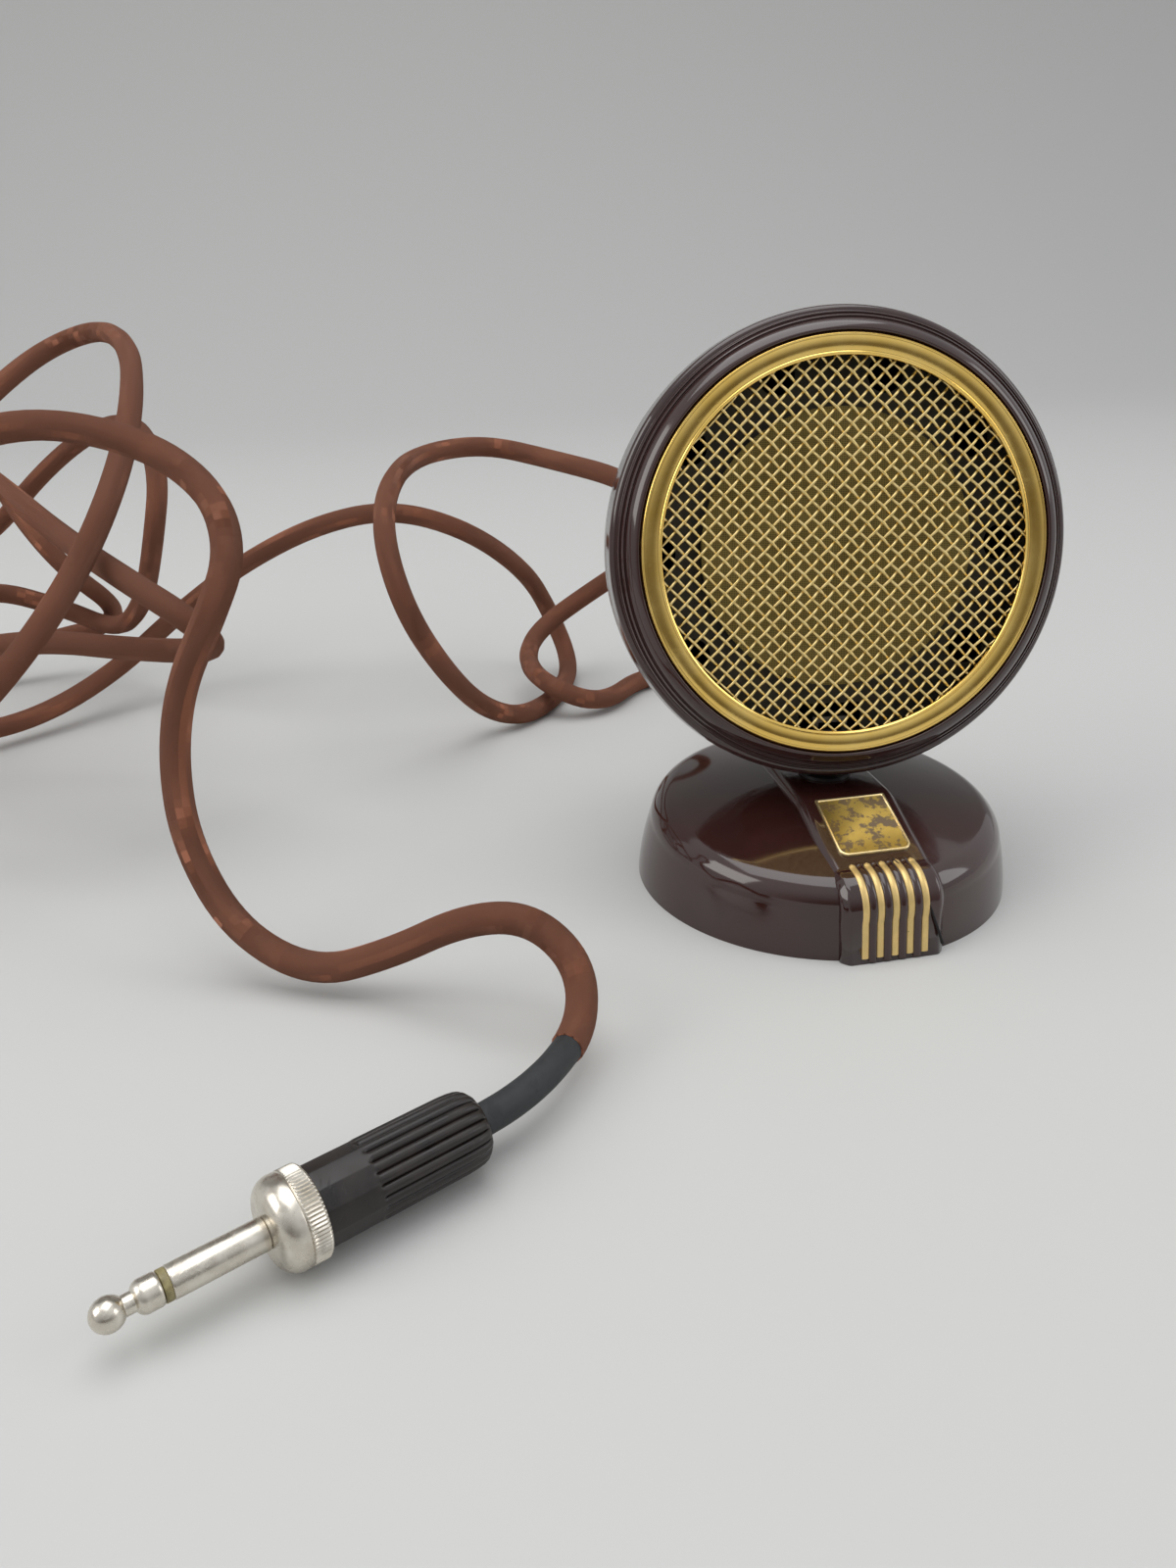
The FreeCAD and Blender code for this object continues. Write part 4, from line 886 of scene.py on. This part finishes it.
def flutes(radius, depth, turn):
    # between the plain twelve-sided part and the rounded rear the handle has grooves
    p = plug
    if radius < p["handleCore"]:
        return 0
    begun = ramped(depth, p["fluteStart"] - 0.2, p["fluteStart"] + 0.9)
    there = begun * (1 - ramped(depth, p["fluteEnd"], p["fluteEnd"] + p["fluteFade"]))
    groove = 1 - math.sqrt(abs(math.cos(turn * p["fluteCount"] / 2)))
    half = math.pi / p["handleSides"]
    flat = math.cos(half) / math.cos((turn % (2 * half)) - half) - 1
    return -p["fluteDeep"] * groove * there + radius * p["sideShare"] * flat * (1 - there)


def evenSteps(low, high, count, radius):
    return [(radius, low + (high - low) * k / count) for k in range(count + 1)]


def makePlug():
    p = plug
    ball, neck = p["ball"], p["neck"]
    tipEnd = p["tipLength"]
    ringEnd = tipEnd + p["ringLength"]
    joint = math.sqrt(ball ** 2 - neck ** 2)
    tip = lathe("PlugTip", [
        (0, -ball),
        (ball * math.sin(math.radians(50)), -ball * math.cos(math.radians(50)), ball, 0),
        (ball * math.cos(math.radians(26)), ball * math.sin(math.radians(26)), neck, joint),
        (neck, p["neckPlace"]),
        (2.75, 4.9, ball, 6.3),
        (ball, tipEnd - 0.6),
        (ball - 0.3, tipEnd),
        (0, tipEnd),
    ], nickel, plugPlace, segments=64, soften=0.3, steps=12)
    show(tip, "foot", "nickel", "plug_tip")
    ring = lathe("PlugInsulator", [(0, tipEnd), (ball - 0.1, tipEnd), (ball - 0.1, ringEnd), (0, ringEnd)],
                 insulator, plugPlace, segments=64, soften=0.15)
    show(ring, "foot", "insulator", "plug_insulator")
    shaft = lathe("PlugShaft", [
        (0, ringEnd), (p["shaft"], ringEnd), (p["shaft"], p["shaftEnd"]), (0, p["shaftEnd"]),
    ], nickel, plugPlace, segments=64, soften=0.35)
    show(shaft, "foot", "nickel", "plug_shaft")
    collar = lathe("PlugCollar", [
        (0, p["shaftEnd"]), (p["collarFace"], p["shaftEnd"]),
        (8.2, 29.5, p["collar"], 32.6),
        (p["collar"], 33.3), (p["collar"] - 0.3, 33.5), (p["collar"], 33.7),
        *evenSteps(34.0, 37.0, 3, p["collar"]),
        (p["collar"] - 0.5, p["collarEnd"]), (0, p["collarEnd"]),
    ], nickel, plugPlace, segments=432, soften=0.15, wave=knurl)
    show(collar, "foot", "nickel", "plug_collar")
    handle = lathe("PlugHandle", [
        (0, p["collarEnd"]), (p["handle"], p["collarEnd"]),
        *evenSteps(38.5, 48.0, 3, p["handle"]),
        *evenSteps(48.4, 49.6, 5, p["handle"]),
        *evenSteps(52.0, 68.0, 4, p["handle"]),
        (p["handle"] - 0.1, 70.0), (7.9, 71.6), (7.5, 72.9), (6.7, 73.8), (5.8, p["handleEnd"]),
        (0, p["handleEnd"]),
    ], plugBakelite, plugPlace, segments=240, soften=0.3, wave=flutes, sharp=50)
    show(handle, "foot", "plug_bakelite", "plug_handle")


def makeSleeve():
    p = plug
    turn = math.radians(p["sleeveTurn"])
    bend = p["sleeveLength"] / turn
    places = []
    for k in range(7):
        part = turn * k / 6
        side, along = bend * (1 - math.cos(part)), p["handleEnd"] + bend * math.sin(part)
        places.append(plugPlace @ (Vector((0, side, along)) * mm))
    return tubeCurve("PlugSleeve", places, p["sleeve"] / 2 * mm, rubber, along=6, around=6)


makePlug()
show(makeSleeve(), "foot", "rubber", "plug_sleeve")
print("plug made")

# Pieces that keep their solids take their finish here
finishes = {
    "swivel_post": blackSteel, "post_washer": steel, "post_nut": steel, "hinge_pin": steel,
    "hinge_bracket": steel, "grille_clip": blackSteel, "base_cover": steel, "felt_pad": felt,
    "base_weight": castIron, "post_bush": bushBrass, "fine_gauze": gauze, "capsule_body": capsuleMetal,
    "capsule_magnet": castIron, "capsule_plate": capsuleMetal, "capsule_cushion": rubber,
    "cord_grommet": rubber,
    **{f"base_screw_{k}": steel for k in (1, 2, 3)},
}
for name, finish in finishes.items():
    mesh = nodes[name].data
    mesh.materials.clear()
    mesh.materials.append(finish)


# Stage: a pale sweep, soft lamps and a plain sky
def plainMaterial(name, colour, roughness):
    material, tree, surface = startMaterial(name)
    surface.inputs["Base Color"].default_value = (*colour, 1)
    surface.inputs["Roughness"].default_value = roughness
    surface.inputs["Specular IOR Level"].default_value = 0.3
    return material


def makeSweep():
    s = dict(front=-1.6, bend=1.1, radius=1.2, top=3.0, side=3.0)
    line = [(s["front"], 0), (s["bend"], 0)]
    for k in range(1, 17):
        turn = math.pi / 2 * k / 16
        line.append((s["bend"] + s["radius"] * math.sin(turn), s["radius"] * (1 - math.cos(turn))))
    line.append((s["bend"] + s["radius"], s["top"]))
    vertices = [(x / mm, y / mm, z / mm) for y, z in line for x in (-s["side"], s["side"])]
    faces = [(2 * k, 2 * k + 1, 2 * k + 3, 2 * k + 2) for k in range(len(line) - 1)]
    paint = plainMaterial("SweepPaint", (0.575, 0.575, 0.56), 0.55)
    meshObject("Sweep", vertices, faces, paint, closed=False)


def makeLamp(name, place, target, width, height, power, colour=(1, 1, 1)):
    data = bpy.data.lights.new(name, "AREA")
    data.shape = "RECTANGLE"
    data.size, data.size_y = width, height
    data.energy = power
    data.color = colour
    lamp = bpy.data.objects.new(name, data)
    aim = (Vector(target) - Vector(place)).to_track_quat("-Z", "Y")
    lamp.matrix_world = Matrix.Translation(place) @ aim.to_matrix().to_4x4()
    bpy.context.scene.collection.objects.link(lamp)


makeSweep()
makeLamp("TopSoftbox", (-0.1, 0.1, 1.6), (0, 0.05, 0), 1.4, 1.4, 11)
makeLamp("LeftWindow", (-1.4, -0.2, 0.9), (-0.05, 0, 0.05), 0.9, 0.9, 7, (1, 0.98, 0.95))
makeLamp("RightFill", (1.3, -0.5, 0.8), (0, 0, 0.05), 0.6, 0.9, 3)

world = bpy.data.worlds.new("StudioSky")
bpy.context.scene.world = world
world.use_nodes = True
sky = world.node_tree
around = addNode(sky, "ShaderNodeTexCoord")
heights = addNode(sky, "ShaderNodeSeparateXYZ", {"Vector": around.outputs["Generated"]})
roomFront, roomBack, ceiling = (0.2, 0.185, 0.17, 1), (0.8, 0.81, 0.83, 1), (0.95, 0.97, 1.0, 1)
room = mixColour(sky, ramp(sky, heights.outputs["Y"], -0.95, -0.5), roomFront, roomBack)
sky.links.new(mixColour(sky, ramp(sky, heights.outputs["Z"], 0.15, 0.8), room, ceiling),
              sky.nodes["Background"].inputs["Color"])
sky.nodes["Background"].inputs["Strength"].default_value = 0.75
bpy.context.scene.view_settings.view_transform = "Standard"
print("stage set")
